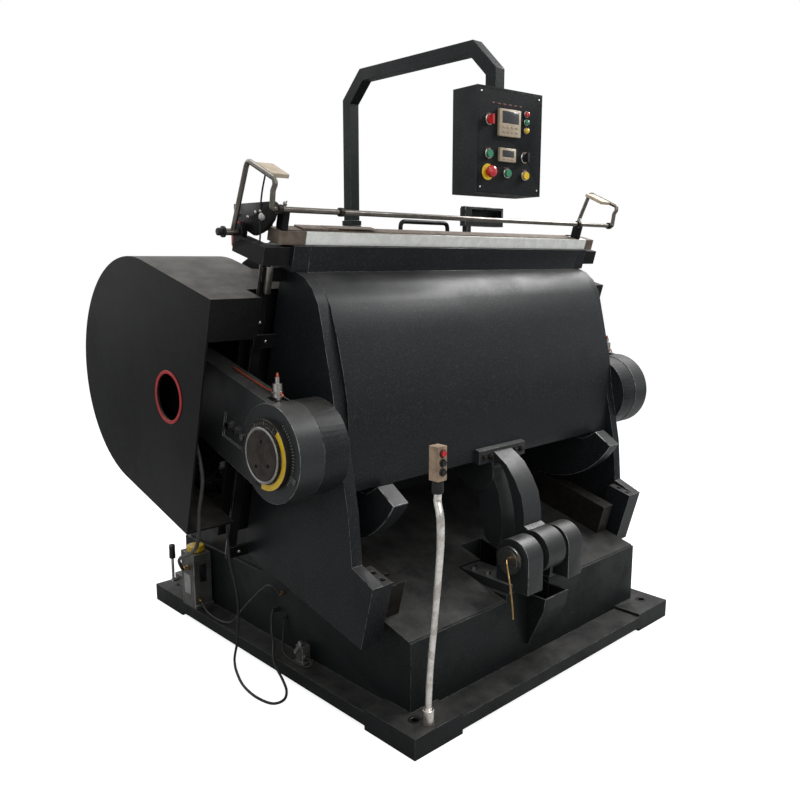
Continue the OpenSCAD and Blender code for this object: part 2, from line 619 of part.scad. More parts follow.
// open belt run round two pulleys in the Y-Z plane, r1 at p1 and r2 at p2
module belt_loop(p1, r1, p2, r2) {
    d = norm(p2 - p1);
    b = atan2(p2[1] - p1[1], p2[0] - p1[0]);
    g = acos((r2 - r1) / d);
    n = 24;
    polygon(concat([for (k = [0:n]) p2 + r2 * [cos(b + 180 - g - k * (360 - 2 * g) / n),
        sin(b + 180 - g - k * (360 - 2 * g) / n)]],
        [for (k = [0:n]) p1 + r1 * [cos(b + 180 + g - k * 2 * g / n), sin(b + 180 + g - k * 2 * g / n)]]));
}
clutch_yz = [py(clutch_c[0], clutch_c[1]), pz(clutch_c[0], clutch_c[1])];
belt_in = groove_d - 0.8;
module drive_belt() color(dark) for (x = grooves) along_x(belt_x0 + x + 2, belt_x0 + x + 14) difference() {
    belt_loop([motor_y, motor_z], pulley_r - 1, clutch_yz, flywheel_r - 1);
    belt_loop([motor_y, motor_z], pulley_r - belt_in, clutch_yz, flywheel_r - belt_in);
}

// ---------- control arm ----------
mast_x = -50;
mast_y = 300;
mast_foot = 1340;
arm_h = arm_s / 2;
spigot_r = 18;
module mast() color(charcoal) {
    difference() {
        union() {
            box3([mast_x - arm_h, mast_y - arm_h, mast_foot],
                [mast_x + arm_h, mast_y + arm_h, swivel_z - face_gap]);
            box3([mast_x - 70, mast_y - 70, mast_foot], [mast_x + 70, mast_y + 70, mast_foot + 12]);
            box3([mast_x - arm_h - 6, mast_y - arm_h - 6, swivel_z - 36],
                [mast_x + arm_h + 6, mast_y + arm_h + 6, swivel_z - face_gap]);
        }
        translate([mast_x, mast_y, swivel_z - 60]) cylinder(h = 70, r = spigot_r + run_fit);
    }
}
arm_front = -530;
bend = 100;
drop_z = 2222;
module arm_outline(d) polygon([[mast_y + d, swivel_z], [mast_y + d, beam_z - bend + d * 0.41],
    [mast_y - bend + d * 0.41, beam_z + d],
    [arm_front + bend - d * 0.41, beam_z + d], [arm_front - d, beam_z - bend + d * 0.41],
        [arm_front - d, drop_z],
    [arm_front + d, drop_z], [arm_front + d, beam_z - bend - d * 0.41],
        [arm_front + bend + d * 0.41, beam_z - d],
    [mast_y - bend - d * 0.41, beam_z - d], [mast_y - d, beam_z - bend - d * 0.41], [mast_y - d, swivel_z]]);
module gooseneck() color(charcoal) difference() {
    union() {
        along_x(mast_x - arm_h, mast_x + arm_h) arm_outline(arm_h);
        translate([mast_x, mast_y, swivel_z - 56]) cylinder(h = 60, r = spigot_r);
        box3([mast_x - arm_h - 6, mast_y - arm_h - 6, swivel_z], [mast_x + arm_h + 6, mast_y + arm_h + 6,
            swivel_z + 20]);
    }
    translate([mast_x, arm_front, drop_z - 1]) cylinder(h = 50, r = spigot_r + run_fit);
}
box_top = 2214;
box_turn = -5;
box_x = mast_x + 20;
module box_frame() translate([mast_x, arm_front, 0]) rotate([0, 0, box_turn]) children();
module control_box() color(charcoal) box_frame() {
    difference() {
        box3([box_x - mast_x - box_w / 2, -box_d / 2, box_top - box_h],
            [box_x - mast_x + box_w / 2, box_d / 2, box_top]);
        for (c = controls) translate([c[0] + box_x - mast_x, -box_d / 2 - 1, box_top - c[1]])
            rotate([-90, 0, 0])
            cylinder(h = 42, r = c[2] + run_fit);
    }
    cylinder_at(0, 0, box_top - e, drop_z - face_gap, 34);
    cylinder_at(0, 0, drop_z - 2, drop_z + 44, spigot_r);
}
module cylinder_at(x, y, z0, z1, r) translate([x, y, z0]) cylinder(h = z1 - z0, r = r);
// controls on the panel: place across from its middle, depth below its top, stem radius
controls = [[-111, 115, 8], [76, 236, 8], [-113, 298, 11], [-113, 234, 8], [-17, 298, 8], [78, 301, 8]];
module on_panel(k) box_frame()
    translate([controls[k][0] + box_x - mast_x, -box_d / 2, box_top - controls[k][1]]) rotate([90, 0, 0])
        children();
module cap(k, r, h, gap) on_panel(k) {
    translate([0, 0, -26]) cylinder(h = 26 + gap + 1, r = controls[k][2]);
    translate([0, 0, gap]) cylinder(h = h, r = r);
}
module panel_fixtures() color(beige) box_frame() {
    for (q = [[-69, 72, 111, 96], [-64, 209, 84, 49]])
        box3([box_x - mast_x + q[0], -box_d / 2 - 14, box_top - q[1] - q[3]],
        [box_x - mast_x + q[0] + q[2], -box_d / 2, box_top - q[1]]);
    for (z = [79, 108, 138]) translate([box_x - mast_x + 80, -box_d / 2, box_top - z]) rotate([90, 0, 0])
        cylinder(h = 16, r = 12);
}
module stop_button() color([0.75, 0.1, 0.08]) cap(2, 21, 24, 12);
module knob(k) color(dark) {
    cap(k, 15, 12, 1.5);
    on_panel(k) translate([-5, -17, 12]) cube([10, 34, 13]);
}
module selector_upper() knob(0);
module selector_lower() knob(1);
module button_green_left() color([0.1, 0.55, 0.2]) cap(3, 14, 9, 6);
module button_green_mid() color([0.1, 0.55, 0.2]) cap(4, 14, 9, 6);
module button_yellow() color([0.85, 0.7, 0.1]) cap(5, 14, 9, 6);
// a window frame on a leg that stands on the sloping back edge of a bed rib
bracket_x = [300, 565];
bracket_y = [-75, -45];
bracket_z = [1752, 1839];
leg_x = [312, 340];
rib_fall = (1480 - rib_top) / (620 - bed_v - bed_t - 30);
function rib_back_v(y) = (y + sl * (rib_top - rib_fall * (bed_v + bed_t + 30))) / (cl - sl * rib_fall);
function rib_back_z(y) = let (v = rib_back_v(y)) pz(v, rib_top + rib_fall * (v - bed_v - bed_t - 30))
    + face_gap;
module rear_bracket() color(charcoal) {
    difference() {
        box3([bracket_x[0], bracket_y[0], bracket_z[0]], [bracket_x[1], bracket_y[1], bracket_z[1]]);
        box3([bracket_x[0] + 42, bracket_y[0] - 1, bracket_z[0] + 34],
            [bracket_x[1] - 10, bracket_y[1] + 1, bracket_z[1] - 12]);
    }
    along_x(leg_x[0], leg_x[1]) polygon([[bracket_y[0], rib_back_z(bracket_y[0])],
        [bracket_y[1], rib_back_z(bracket_y[1])],
        [bracket_y[1], bracket_z[0] + 1], [bracket_y[0], bracket_z[0] + 1]]);
}

// ---------- pendant ----------
pend_foot = [-702, -846, flange_top + 12];
pend = [-858, -1031, 956];
pend_path = [pend_foot + [0, 0, 0.5], pend_foot + [0, 0, 63], [-709, -860, 277], [-754, -920, 469],
    [-811, -990, 655], [-851, -1037, 787], [-860, -1044, 870],
    pend - [0, 0, 40], pend - [0, 0, 20], pend];
module pendant_tube() color(steel) {
    tube(smooth(pend_path, 4), 12, 12);
    cylinder_at(pend_foot[0], pend_foot[1], pend_foot[2] + 0.2, pend_foot[2] + 53, 20);
}
module pendant_box() color(beige) translate(pend) difference() {
    union() {
        cylinder_at(0, 0, 0.1, 26, 16);
        box3([-18, -18, 25], [18, 18, 126]);
    }
    for (z = pend_buttons) translate([0, -19, z]) rotate([-90, 0, 0]) cylinder(h = 14, r = 5 + run_fit);
}
pend_buttons = [106, 79, 52];
module pendant_button(k, c) color(c) translate(pend + [0, -18, pend_buttons[k]]) rotate([90, 0, 0]) {
    translate([0, 0, -10]) cylinder(h = 13, r = 5);
    translate([0, 0, 2.5]) cylinder(h = 6, r = 9);
}
module pendant_button_red() pendant_button(0, [0.75, 0.1, 0.08]);
module pendant_button_up() pendant_button(1, dark);
module pendant_button_down() pendant_button(2, dark);

// ---------- oil pump and limit switch ----------
pump_at = [-752, 572, flange_top];
lever_y = 110;
module oil_pump() color([0.55, 0.56, 0.55]) translate(pump_at) difference() {
    union() {
        box3([-46, -56, 14], [40, 56, 250]);
        box3([-46, -60, 0], [46, 60, 15]);
        box3([-40, 55, 70], [30, lever_y + 22, 120]);
    }
    translate([-3, 0, 225]) cylinder(h = 30, r = 24 + run_fit);
    rod_x(-47, 40, 9 + run_fit, lever_y, 95);
}
module pump_lever() color(steel) translate(pump_at) {
    rod_x(-66, 36, 9, lever_y, 95);
    translate([-60, lever_y, 95]) cylinder(h = 110, r = 6);
    translate([-60, lever_y, 200]) cylinder(h = 62, r = 13);
}
module pump_cap() color([0.9, 0.72, 0.1]) translate(pump_at) {
    translate([-3, 0, 227]) cylinder(h = 24, r = 24);
    translate([-3, 0, 250.5]) cylinder(h = 26, r = 37);
}
switch_at = [-735, -196, flange_top];
module limit_switch() color(steel) translate(switch_at) difference() {
    union() {
        box3([-26, -30, 0], [26, 30, 6]);
        box3([-18, -22, 5], [18, 22, 70]);
        translate([-8, -30, 30]) rotate([-90, 0, 0]) cylinder(h = 10, r = 8);
    }
    rod_x(-19, 2, 6 + run_fit, 0, 52);
}
module switch_lever() color(steel) translate(switch_at) {
    rod_x(-34, 0, 6, 0, 52);
    translate([-34, 0, 52]) rotate([40, 0, 0]) {
        box3([-6, -6, -4], [0, 6, 66]);
        rod_x(-12, 6, 11, 0, 66);
    }
}

// ---------- hoses and cables ----------
hose_r = 7;
hose_upper = [[-1116.5, -60, 985], [-1111, -60, 985], [-1105, -60, 984], [-1094, -85, 970],
    [-1094, -122, 850], [-1096, -95, 735],
    [-1096, -85, 650], [-1085, -40, 575], [-1030, 120, 490], [-960, 310, 410], [-880, 490, 320],
        [-830, 556, 252],
    [-814, 560, 250], [-806, 560, 250], [-798.4, 560, 250]];
hose_lower = [[-775, 515.6, 105], [-775, 510, 105], [-775, 503, 104], [-778, 475, 88], [-785, 420, 74],
    [-785, 330, 71], [-775, 250, 90], [-760, 180, 170],
    [-750, 100, 250], [-742, 30, 308], [-732, -10, 310], [-718, -22, 284],
    [-710, -22, 282], [-700.4, -22, 282]];
module oil_hoses() color([0.45, 0.46, 0.46]) {
    tube(smooth(hose_upper, 4), hose_r, 8);
    tube(smooth(hose_lower, 3), 4, 8);
}
lead = [[-743, -226.2, 95], [-745, -255, 96], [-752, -270, 85], [-765, -250, 72], [-770, -190, 71],
    [-760, -110, 71],
    [-735, -60, 80], [-715, -40, 130], [-706, -40, 180], [-700.2, -40, 186]];
module switch_lead() color(dark) tube(smooth(lead, 3), 3.5, 8);
cable_r = 5;
floor_route = [[-700.5, 20, 200], [-712, 20, 200], [-730, 14, 190], [-748, -5, 135], [-765, -40, 95],
    [-800, -90, 82],
    [-822, -130, 60], [-828, -190, 20], [-850, -245, 5], [-895, -290, 5], [-940, -280, 5], [-957, -200, 5],
    [-945, -95, 5], [-905, 15, 5], [-872, 80, 8], [-870, 78, 40], [-880, 40, 120], [-898, -5, 280],
        [-915, -18, 380],
    [-936, -20, 470], [-938, -14, 560], [-938, -12, 622], [-938, -14.5, 631.5], [-938, -17, 641]];
module floor_cable() color(dark)
    tube([for (q = smooth(floor_route, 4)) [q[0], q[1], max(q[2], cable_r)]], cable_r, 8);
sensor_route = [[-935, -328.4, 1885.4], [-935, -318, 1862], [-934, -300, 1820], [-932, -286, 1770],
    [-931, -277, 1680],
    [-931, -272, 1658.2]];
module sensor_lead() color(dark) tube(smooth(sensor_route, 4), 3, 8);

base_frame();
rocker_rails();
drip_pocket();
pillow_blocks();
bridle_studs();
bridle_oil_pipe();
bed_frame();
die_chase();
gear_stubs();
gear_cover_left();
gear_cover_right();
view_rings();
platen_shell();
platen_cheeks();
platen_rockers();
trunnion_pins();
top_strip();
strip_ends();
cutting_plate();
bridle();
side_posts();
bar_brackets();
safety_bar();
bar_sensors();
link_arms();
link_oilers();
pressure_dial_left();
pressure_dial_right();
bull_gears();
countershaft();
clutch_shaft();
flywheel();
motor();
motor_pulley();
drive_belt();
mast();
gooseneck();
control_box();
panel_fixtures();
stop_button();
selector_upper();
selector_lower();
button_green_left();
button_green_mid();
button_yellow();
rear_bracket();
pendant_tube();
pendant_box();
pendant_button_red();
pendant_button_up();
pendant_button_down();
oil_pump();
pump_lever();
pump_cap();
limit_switch();
switch_lever();
oil_hoses();
switch_lead();
floor_cable();
sensor_lead();
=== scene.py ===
"""Finishes and fine detail for a platen die cutting press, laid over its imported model.

Sizes are in millimetres until they reach Blender, which works in metres. X runs across the press,
+Y from the operator's side to the back and +Z up. The press itself leans, and leaned() turns its
own (x, v, w) places into the machine's frame.
"""

import json
import logging
import math
from dataclasses import dataclass, replace
from enum import Enum
from typing import Callable, Iterable, Mapping, Sequence

import bpy
from mathutils import Matrix, Vector

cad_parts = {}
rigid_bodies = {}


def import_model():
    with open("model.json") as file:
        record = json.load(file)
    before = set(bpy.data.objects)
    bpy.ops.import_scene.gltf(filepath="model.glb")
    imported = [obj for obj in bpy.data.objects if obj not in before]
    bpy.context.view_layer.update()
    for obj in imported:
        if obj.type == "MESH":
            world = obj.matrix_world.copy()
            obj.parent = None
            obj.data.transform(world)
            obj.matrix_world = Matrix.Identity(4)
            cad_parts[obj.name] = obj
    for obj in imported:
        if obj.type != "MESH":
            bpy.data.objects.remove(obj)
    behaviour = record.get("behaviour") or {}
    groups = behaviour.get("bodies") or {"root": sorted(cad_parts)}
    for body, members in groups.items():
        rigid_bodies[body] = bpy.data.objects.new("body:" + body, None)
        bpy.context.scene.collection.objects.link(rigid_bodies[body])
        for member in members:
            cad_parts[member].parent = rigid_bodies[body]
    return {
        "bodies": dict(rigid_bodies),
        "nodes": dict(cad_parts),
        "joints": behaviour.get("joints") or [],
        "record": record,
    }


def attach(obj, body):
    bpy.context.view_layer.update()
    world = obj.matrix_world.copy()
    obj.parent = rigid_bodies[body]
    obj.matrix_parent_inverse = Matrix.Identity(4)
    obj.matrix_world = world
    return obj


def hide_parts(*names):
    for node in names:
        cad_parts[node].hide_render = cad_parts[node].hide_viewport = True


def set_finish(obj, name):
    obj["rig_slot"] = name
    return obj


LOG = logging.getLogger("press")
MM = 0.001
LEAN = math.radians(15.0)
LEAN_V = Vector((0.0, math.cos(LEAN), math.sin(LEAN)))
LEAN_W = Vector((0.0, -math.sin(LEAN), math.cos(LEAN)))
ACROSS = Vector((1.0, 0.0, 0.0))
BACK = Vector((0.0, 1.0, 0.0))
UP = Vector((0.0, 0.0, 1.0))
ORIGIN = Vector((0.0, 0.0, 0.0))
SIDES = (-1, 1)
Point = Sequence[float]
Pair = tuple[float, float]
Triple = tuple[float, float, float]
Piece = bpy.types.Object
Socket = bpy.types.NodeSocket
Tree = bpy.types.NodeTree


def place(x: float, y: float, z: float) -> Vector:
    """Millimetres in the machine's frame, as metres."""
    return Vector((x, y, z)) * MM


def leaned(x: float, v: float, w: float) -> Vector:
    """Millimetres in the press's leaning frame, as metres in the machine's frame."""
    return ACROSS * (x * MM) + LEAN_V * (v * MM) + LEAN_W * (w * MM)


def radial(degrees: float) -> Vector:
    """The direction at an angle round the X axis in the leaning frame, from its V towards its W."""
    return LEAN_V * math.cos(math.radians(degrees)) + LEAN_W * math.sin(math.radians(degrees))


def spun(degrees: float) -> Matrix:
    """A turn about the Z axis."""
    return Matrix.Rotation(math.radians(degrees), 4, "Z")


def spot(at: Vector, axis: Vector, spin: float = 0.0) -> Matrix:
    """Where a piece made along +Z stands: its foot, its axis and its turn in degrees."""
    turn = UP.rotation_difference(axis.normalized()).to_matrix().to_4x4()
    return Matrix.Translation(at) @ turn @ spun(spin)


# ---------------------------------------------------------------- finishes


class Effect(Enum):
    """The surface effects that several finishes share, each one a shader node group."""

    MOTTLE = "mottled_tone"
    PEEL = "spray_peel"
    # Faces that look up get a lighter tone: settled dust, and painted top light as well.
    DUST_AND_TOP_LIGHT = "dust_and_painted_top_light"
    # Small light grains painted in as glints of the orange peel.
    GLINT_SPECK = "painted_glint_speck"
    # Edges in their own tone: rubbed paint, and on the paints also painted edge highlights.
    RUB_AND_HIGHLIGHT = "rubbed_and_highlighted_edges"
    GRAIN = "drawn_grain"


class Wiring:
    """Adds and joins shader nodes in one node tree."""

    def __init__(self, tree: Tree) -> None:
        """Keeps the tree that nodes are added to.

        Args:
            tree: The node tree of a material, a world or a node group.
        """
        self.tree = tree

    def add(self, kind: str, settings: dict | None = None, **inputs: object) -> bpy.types.Node:
        """Adds one shader node and fills its inputs.

        Args:
            kind: The node's Blender type name, without its first word.
            settings: Properties of the node itself.
            **inputs: Input sockets by name, with _ for a space, as a value or another socket.

        Returns:
            The new node.
        """
        node = self.tree.nodes.new("ShaderNode" + kind)
        for key, value in (settings or {}).items():
            setattr(node, key, value)
        for key, value in inputs.items():
            self.feed(node.inputs[key.replace("_", " ")], value)
        return node

    def feed(self, socket: Socket, value: object) -> None:
        """Links a socket into this one, or sets its value.

        Args:
            socket: The input socket.
            value: Another socket or a plain value.
        """
        if isinstance(value, bpy.types.NodeSocket):
            self.tree.links.new(value, socket)
        else:
            socket.default_value = value

    def maths(self, operation: str, *values: object, kind: str = "Math") -> Socket:
        """Works on numbers or on vectors.

        Args:
            operation: Blender's name for the operation.
            *values: What it works on, as values or sockets.
            kind: "Math" for numbers or "VectorMath" for vectors.

        Returns:
            The result's socket.
        """
        node = self.add(kind, {"operation": operation})
        for socket, value in zip(node.inputs, values):
            self.feed(socket, value)
        return node.outputs[0]

    def times(self, first: object, second: object) -> Socket:
        """Multiplies two values."""
        return self.maths("MULTIPLY", first, second)

    def blend(self, factor: object, first: object, second: object) -> Socket:
        """Mixes two colours.

        Args:
            factor: How much of the second colour shows.
            first: The colour at factor 0.
            second: The colour at factor 1.

        Returns:
            The mixed colour's socket.
        """
        node = self.add("Mix", {"data_type": "RGBA"})
        for slot, value in ((0, factor), (6, first), (7, second)):
            self.feed(node.inputs[slot], value)
        return node.outputs[2]

    def ramp(self, value: object, low: float, high: float, to: Pair = (0.0, 1.0)) -> Socket:
        """Maps a value from one range to another, held at its ends.

        Args:
            value: The value to map.
            low: The value that becomes the first of the new range.
            high: The value that becomes the last of the new range.
            to: The new range.

        Returns:
            The mapped value's socket.
        """
        node = self.add(
            "MapRange", {"interpolation_type": "SMOOTHSTEP"},
            Value=value, From_Min=low, From_Max=high, To_Min=to[0], To_Max=to[1],
        )
        return node.outputs[0]

    def noise(self, where: Socket, scale: object, detail: float, rough: float = 0.5) -> Socket:
        """A cloudy value that changes from place to place."""
        node = self.add("TexNoise", Vector=where, Scale=scale, Detail=detail, Roughness=rough)
        return node.outputs["Fac"]


class EffectGroup(Wiring):
    """One effect's node group, with its named inputs and its outputs."""

    INPUTS: dict[Effect, dict[str, object]] = {
        Effect.MOTTLE: {"Tone": (0.5, 0.5, 0.5, 1), "Shade": (0.4, 0.4, 0.4, 1), "Scale": 4.0},
        Effect.PEEL: {"Scale": 260.0, "Waves": 0.5},
        Effect.DUST_AND_TOP_LIGHT: {"Amount": 0.3, "Scale": 9.0},
        Effect.GLINT_SPECK: {"Amount": 0.3, "Scale": 170.0},
        Effect.RUB_AND_HIGHLIGHT: {"Amount": 0.3, "Scale": 30.0},
        Effect.GRAIN: {"Stretch": (60.0, 600.0, 600.0), "Stain": 6.0},
    }
    KINDS = {1: "NodeSocketFloat", 3: "NodeSocketVector", 4: "NodeSocketColor"}

    def __init__(self, effect: Effect) -> None:
        """Starts a group with the effect's inputs.

        Args:
            effect: The effect, which names the group.
        """
        super().__init__(bpy.data.node_groups.new(effect.value, "ShaderNodeTree"))
        for label, default in self.INPUTS[effect].items():
            kind = self.KINDS[len(default) if isinstance(default, tuple) else 1]
            socket = self.tree.interface.new_socket(name=label, in_out="INPUT", socket_type=kind)
            socket.default_value = default
        self.start: Mapping[str, Socket] = self.tree.nodes.new("NodeGroupInput").outputs
        self.where = self.add("TexCoord").outputs["Object"]

    @classmethod
    def built(cls, effect: Effect) -> Tree:
        """The effect's node group, built on first use.

        Args:
            effect: The effect.

        Returns:
            The group.
        """
        found = bpy.data.node_groups.get(effect.value)
        if found:
            return found
        group = cls(effect)
        makers: dict[Effect, Callable[[], None]] = {
            Effect.MOTTLE: group._mottle, Effect.PEEL: group._peel, Effect.DUST_AND_TOP_LIGHT: group._dust_and_top_light,
            Effect.GLINT_SPECK: group._glint_speck, Effect.RUB_AND_HIGHLIGHT: group._rub_and_highlight, Effect.GRAIN: group._grain,
        }
        makers[effect]()
        return group.tree

    def _give(self, **results: Socket) -> None:
        """Closes the group with its results.

        Args:
            **results: The group's outputs by name.
        """
        for label in results:
            kind = self.KINDS[4 if label == "Tone" else 1]
            self.tree.interface.new_socket(name=label, in_out="OUTPUT", socket_type=kind)
        end = self.tree.nodes.new("NodeGroupOutput")
        for label, value in results.items():
            self.feed(end.inputs[label], value)

    def _cloud(self, label: str, detail: float, rough: float = 0.5) -> Socket:
        """Noise over the piece, whose scale is one of the group's inputs."""
        return self.noise(self.where, self.start[label], detail, rough)

    def _mottle(self) -> None:
        """Two tones that drift into each other, large over small."""
        fine = self.noise(self.where, self.times(self.start["Scale"], 22.0), 2.0)
        broad = self.ramp(self._cloud("Scale", 5.0, 0.6), 0.36, 0.66)
        mask = self.times(broad, self.ramp(fine, 0.2, 0.7, (0.55, 1.0)))
        self._give(Tone=self.blend(mask, self.start["Tone"], self.start["Shade"]), Mask=mask)

    def _peel(self) -> None:
        """The height of sprayed paint's orange peel over slow waves in the casting."""
        peel = self.times(self._cloud("Scale", 2.0), 0.12)
        swell = self.times(self.noise(self.where, 7.0, 1.0), self.start["Waves"])
        self._give(Height=self.maths("ADD", peel, swell))

    def _dust_and_top_light(self) -> None:
        """Where dust settles and top light is painted: faces that look up, broken by noise."""
        normal = self.add("NewGeometry").outputs["Normal"]
        facing = self.add("SeparateXYZ", Vector=normal).outputs["Z"]
        broken = self.ramp(self._cloud("Scale", 6.0, 0.7), 0.12, 0.9)
        lying = self.times(self.ramp(facing, 0.35, 1.0), broken)
        self._give(Mask=self.times(lying, self.start["Amount"]))

    def _glint_speck(self) -> None:
        """Painted glints of the paint's orange peel, as a scatter of small light grains."""
        grains = self.ramp(self._cloud("Scale", 2.0, 0.7), 0.5, 0.72)
        self._give(Mask=self.times(grains, self.start["Amount"]))

    def _rub_and_highlight(self) -> None:
        """Paint rubbed thin along edges, with painted edge highlights, from the piece's own edge
        attribute.
        """
        edge = self.add("Attribute", {"attribute_name": "edge"}).outputs["Fac"]
        broken = self.times(edge, self.ramp(self._cloud("Scale", 5.0, 0.75), 0.36, 0.56))
        self._give(Mask=self.times(broken, self.start["Amount"]))

    def _grain(self) -> None:
        """Fine drawn or turned lines, as a height and a mask."""
        along = self.maths("MULTIPLY", self.where, self.start["Stretch"], kind="VectorMath")
        stain = self.ramp(self._cloud("Stain", 6.0, 0.7), 0.45, 0.75)
        self._give(Height=self.noise(along, 1.0, 3.0, 0.6), Mask=stain)


@dataclass(frozen=True)
class Finish:
    """One surface finish, which builds its own material once.

    Colours are linear.
    """

    name: str
    slot: str
    tone: Triple
    shade: Triple
    rough: float = 0.4
    rough_drift: float = 0.1
    metallic: float = 0.0
    mottle: float = 4.0
    peel: float = 0.0
    peel_scale: float = 260.0
    waves: float = 0.4
    # Dust on up-facing faces in a lighter tone, which also paints top light there.
    dust_and_top_light: float = 0.0
    dust_and_top_light_tone: Triple = (0.16, 0.15, 0.13)
    # Rubbed edges in their own tone; on the paints and steels it also paints edge highlights.
    rub_and_highlight: float = 0.0
    rub_and_highlight_tone: Triple = (0.22, 0.22, 0.21)
    grain: Triple | None = None
    grain_depth: float = 0.1
    coat: float = 0.0
    # Small light grains painted in as glints, with their tone.
    glint_speck: float = 0.0
    glint_speck_tone: Triple = (0.052, 0.054, 0.054)
    gloss: float = 0.5

    STAIN_SHARE = 0.35
    RUBBED_AND_HIGHLIGHTED_METALLIC = 0.9
    COAT_ROUGH = 0.12
    BUMP_DISTANCE = 0.004

    def material(self) -> bpy.types.Material:
        """The finish's material, built on first use."""
        return bpy.data.materials.get(self.name + "_finish") or self._build()

    def _build(self) -> bpy.types.Material:
        """Wires the finish's effects into a new material.

        Returns:
            The new material.
        """
        material = bpy.data.materials.new(self.name + "_finish")
        material.use_nodes = True
        wires = Wiring(material.node_tree)
        tone, shade = (*self.tone, 1), (*self.shade, 1)
        mottle = self._effect(wires, Effect.MOTTLE, Tone=tone, Shade=shade, Scale=self.mottle)
        colour = mottle["Tone"]
        metallic: object = self.metallic
        height, depth = None, 0.0
        if self.grain:
            grain = self._effect(wires, Effect.GRAIN, Stretch=self.grain, Stain=self.mottle * 2)
            stain = wires.times(grain["Mask"], self.STAIN_SHARE)
            colour = wires.blend(stain, colour, shade)
            height, depth = grain["Height"], self.grain_depth
        if self.peel:
            peel = self._effect(wires, Effect.PEEL, Scale=self.peel_scale, Waves=self.waves)
            height, depth = peel["Height"], self.peel
        for effect, amount, over in (
            # Dust and painted top light on faces that look up.
            (Effect.DUST_AND_TOP_LIGHT, self.dust_and_top_light, self.dust_and_top_light_tone),
            # Painted glints as small light grains.
            (Effect.GLINT_SPECK, self.glint_speck, self.glint_speck_tone),
            # Rubbed paint and painted highlights along edges.
            (Effect.RUB_AND_HIGHLIGHT, self.rub_and_highlight, self.rub_and_highlight_tone),
        ):
            if not amount:
                continue
            mask = self._effect(wires, effect, Amount=amount)["Mask"]
            colour = wires.blend(mask, colour, (*over, 1))
            if effect is Effect.RUB_AND_HIGHLIGHT:
                metallic = wires.ramp(mask, 0.0, 1.0, (self.metallic, self.RUBBED_AND_HIGHLIGHTED_METALLIC))
        drift = (self.rough, self.rough + self.rough_drift)
        surface = {
            "Base Color": colour,
            "Roughness": wires.ramp(mottle["Mask"], 0.0, 1.0, drift),
            "Metallic": metallic,
            "Coat Weight": self.coat,
            "Coat Roughness": self.COAT_ROUGH,
            "Specular IOR Level": self.gloss,
        }
        if height is not None:
            bump = wires.add(
                "Bump", Height=height, Strength=depth, Distance=self.BUMP_DISTANCE
            )
            surface["Normal"] = bump.outputs["Normal"]
        for label, value in surface.items():
            wires.feed(material.node_tree.nodes["Principled BSDF"].inputs[label], value)
        return material

    @staticmethod
    def _effect(wires: Wiring, effect: Effect, **inputs: object) -> Mapping[str, Socket]:
        """Places a shared effect in this material with its own values.

        Args:
            wires: The material's wiring.
            effect: The effect to place.
            **inputs: The effect's inputs by name.

        Returns:
            The group node's outputs, which are found by name.
        """
        return wires.add("Group", {"node_tree": EffectGroup.built(effect)}, **inputs).outputs


# Its dust tone also paints the top light on the dome's crest.
CHARCOAL = Finish(
    "charcoal_paint", "charcoal_paint", (0.0098, 0.011, 0.0124), (0.0058, 0.0066, 0.0074),
    rough=0.36, rough_drift=0.12, mottle=3.0, peel=0.6, peel_scale=190.0, dust_and_top_light=0.55,
    dust_and_top_light_tone=(0.12, 0.117, 0.107), glint_speck=0.5, rub_and_highlight=0.8, rub_and_highlight_tone=(0.3, 0.31, 0.3), gloss=0.2,
)
# A lighter copy of the charcoal paint for the bridle, pillow blocks and link arms: painted light in
# place of the light they lack in the dome's shade.
LIT_LINKAGE_PAINT = replace(
    CHARCOAL, name="lit_linkage_charcoal_paint", tone=(0.02, 0.0212, 0.0222),
    shade=(0.0125, 0.0132, 0.0138), rough=0.34, rough_drift=0.14, mottle=4.0, peel=0.5, dust_and_top_light=0.6,
    dust_and_top_light_tone=(0.15, 0.145, 0.135), glint_speck=0.4, gloss=0.34,
)
BASE_PAINT = replace(
    CHARCOAL, name="base_charcoal_paint", tone=(0.0075, 0.0088, 0.0092),
    shade=(0.004, 0.0044, 0.0045), rough=0.4, rough_drift=0.18, mottle=5.0, dust_and_top_light=0.6,
    dust_and_top_light_tone=(0.105, 0.1, 0.094), rub_and_highlight=0.7, rub_and_highlight_tone=(0.2, 0.2, 0.19), glint_speck=0.3, gloss=0.17,
)
COVER_PAINT = Finish(
    "cover_charcoal_paint", "charcoal_paint", (0.0088, 0.0086, 0.0082), (0.005, 0.005, 0.0049),
    rough=0.34, rough_drift=0.1, mottle=2.0, peel=0.35, peel_scale=170.0, waves=0.25, dust_and_top_light=0.9,
    dust_and_top_light_tone=(0.125, 0.113, 0.098), glint_speck=0.15, rub_and_highlight=0.4, rub_and_highlight_tone=(0.14, 0.14, 0.13), gloss=0.12,
)
BLACK = Finish(
    "black_paint", "black_paint", (0.006, 0.006, 0.0065), (0.011, 0.011, 0.0115), rough=0.32,
    rough_drift=0.15, mottle=12.0, peel=0.15, dust_and_top_light=0.2, dust_and_top_light_tone=(0.05, 0.045, 0.04), rub_and_highlight=0.6,
    gloss=0.12,
)
PANEL_PAINT = Finish(
    "panel_black_paint", "black_paint", (0.01, 0.0113, 0.012), (0.0062, 0.007, 0.0077), rough=0.42,
    mottle=8.0, peel=0.4, peel_scale=240.0, waves=0.1, glint_speck=0.3, dust_and_top_light=0.45,
    dust_and_top_light_tone=(0.16, 0.16, 0.15), rub_and_highlight=0.35, rub_and_highlight_tone=(0.16, 0.17, 0.17), gloss=0.11,
)
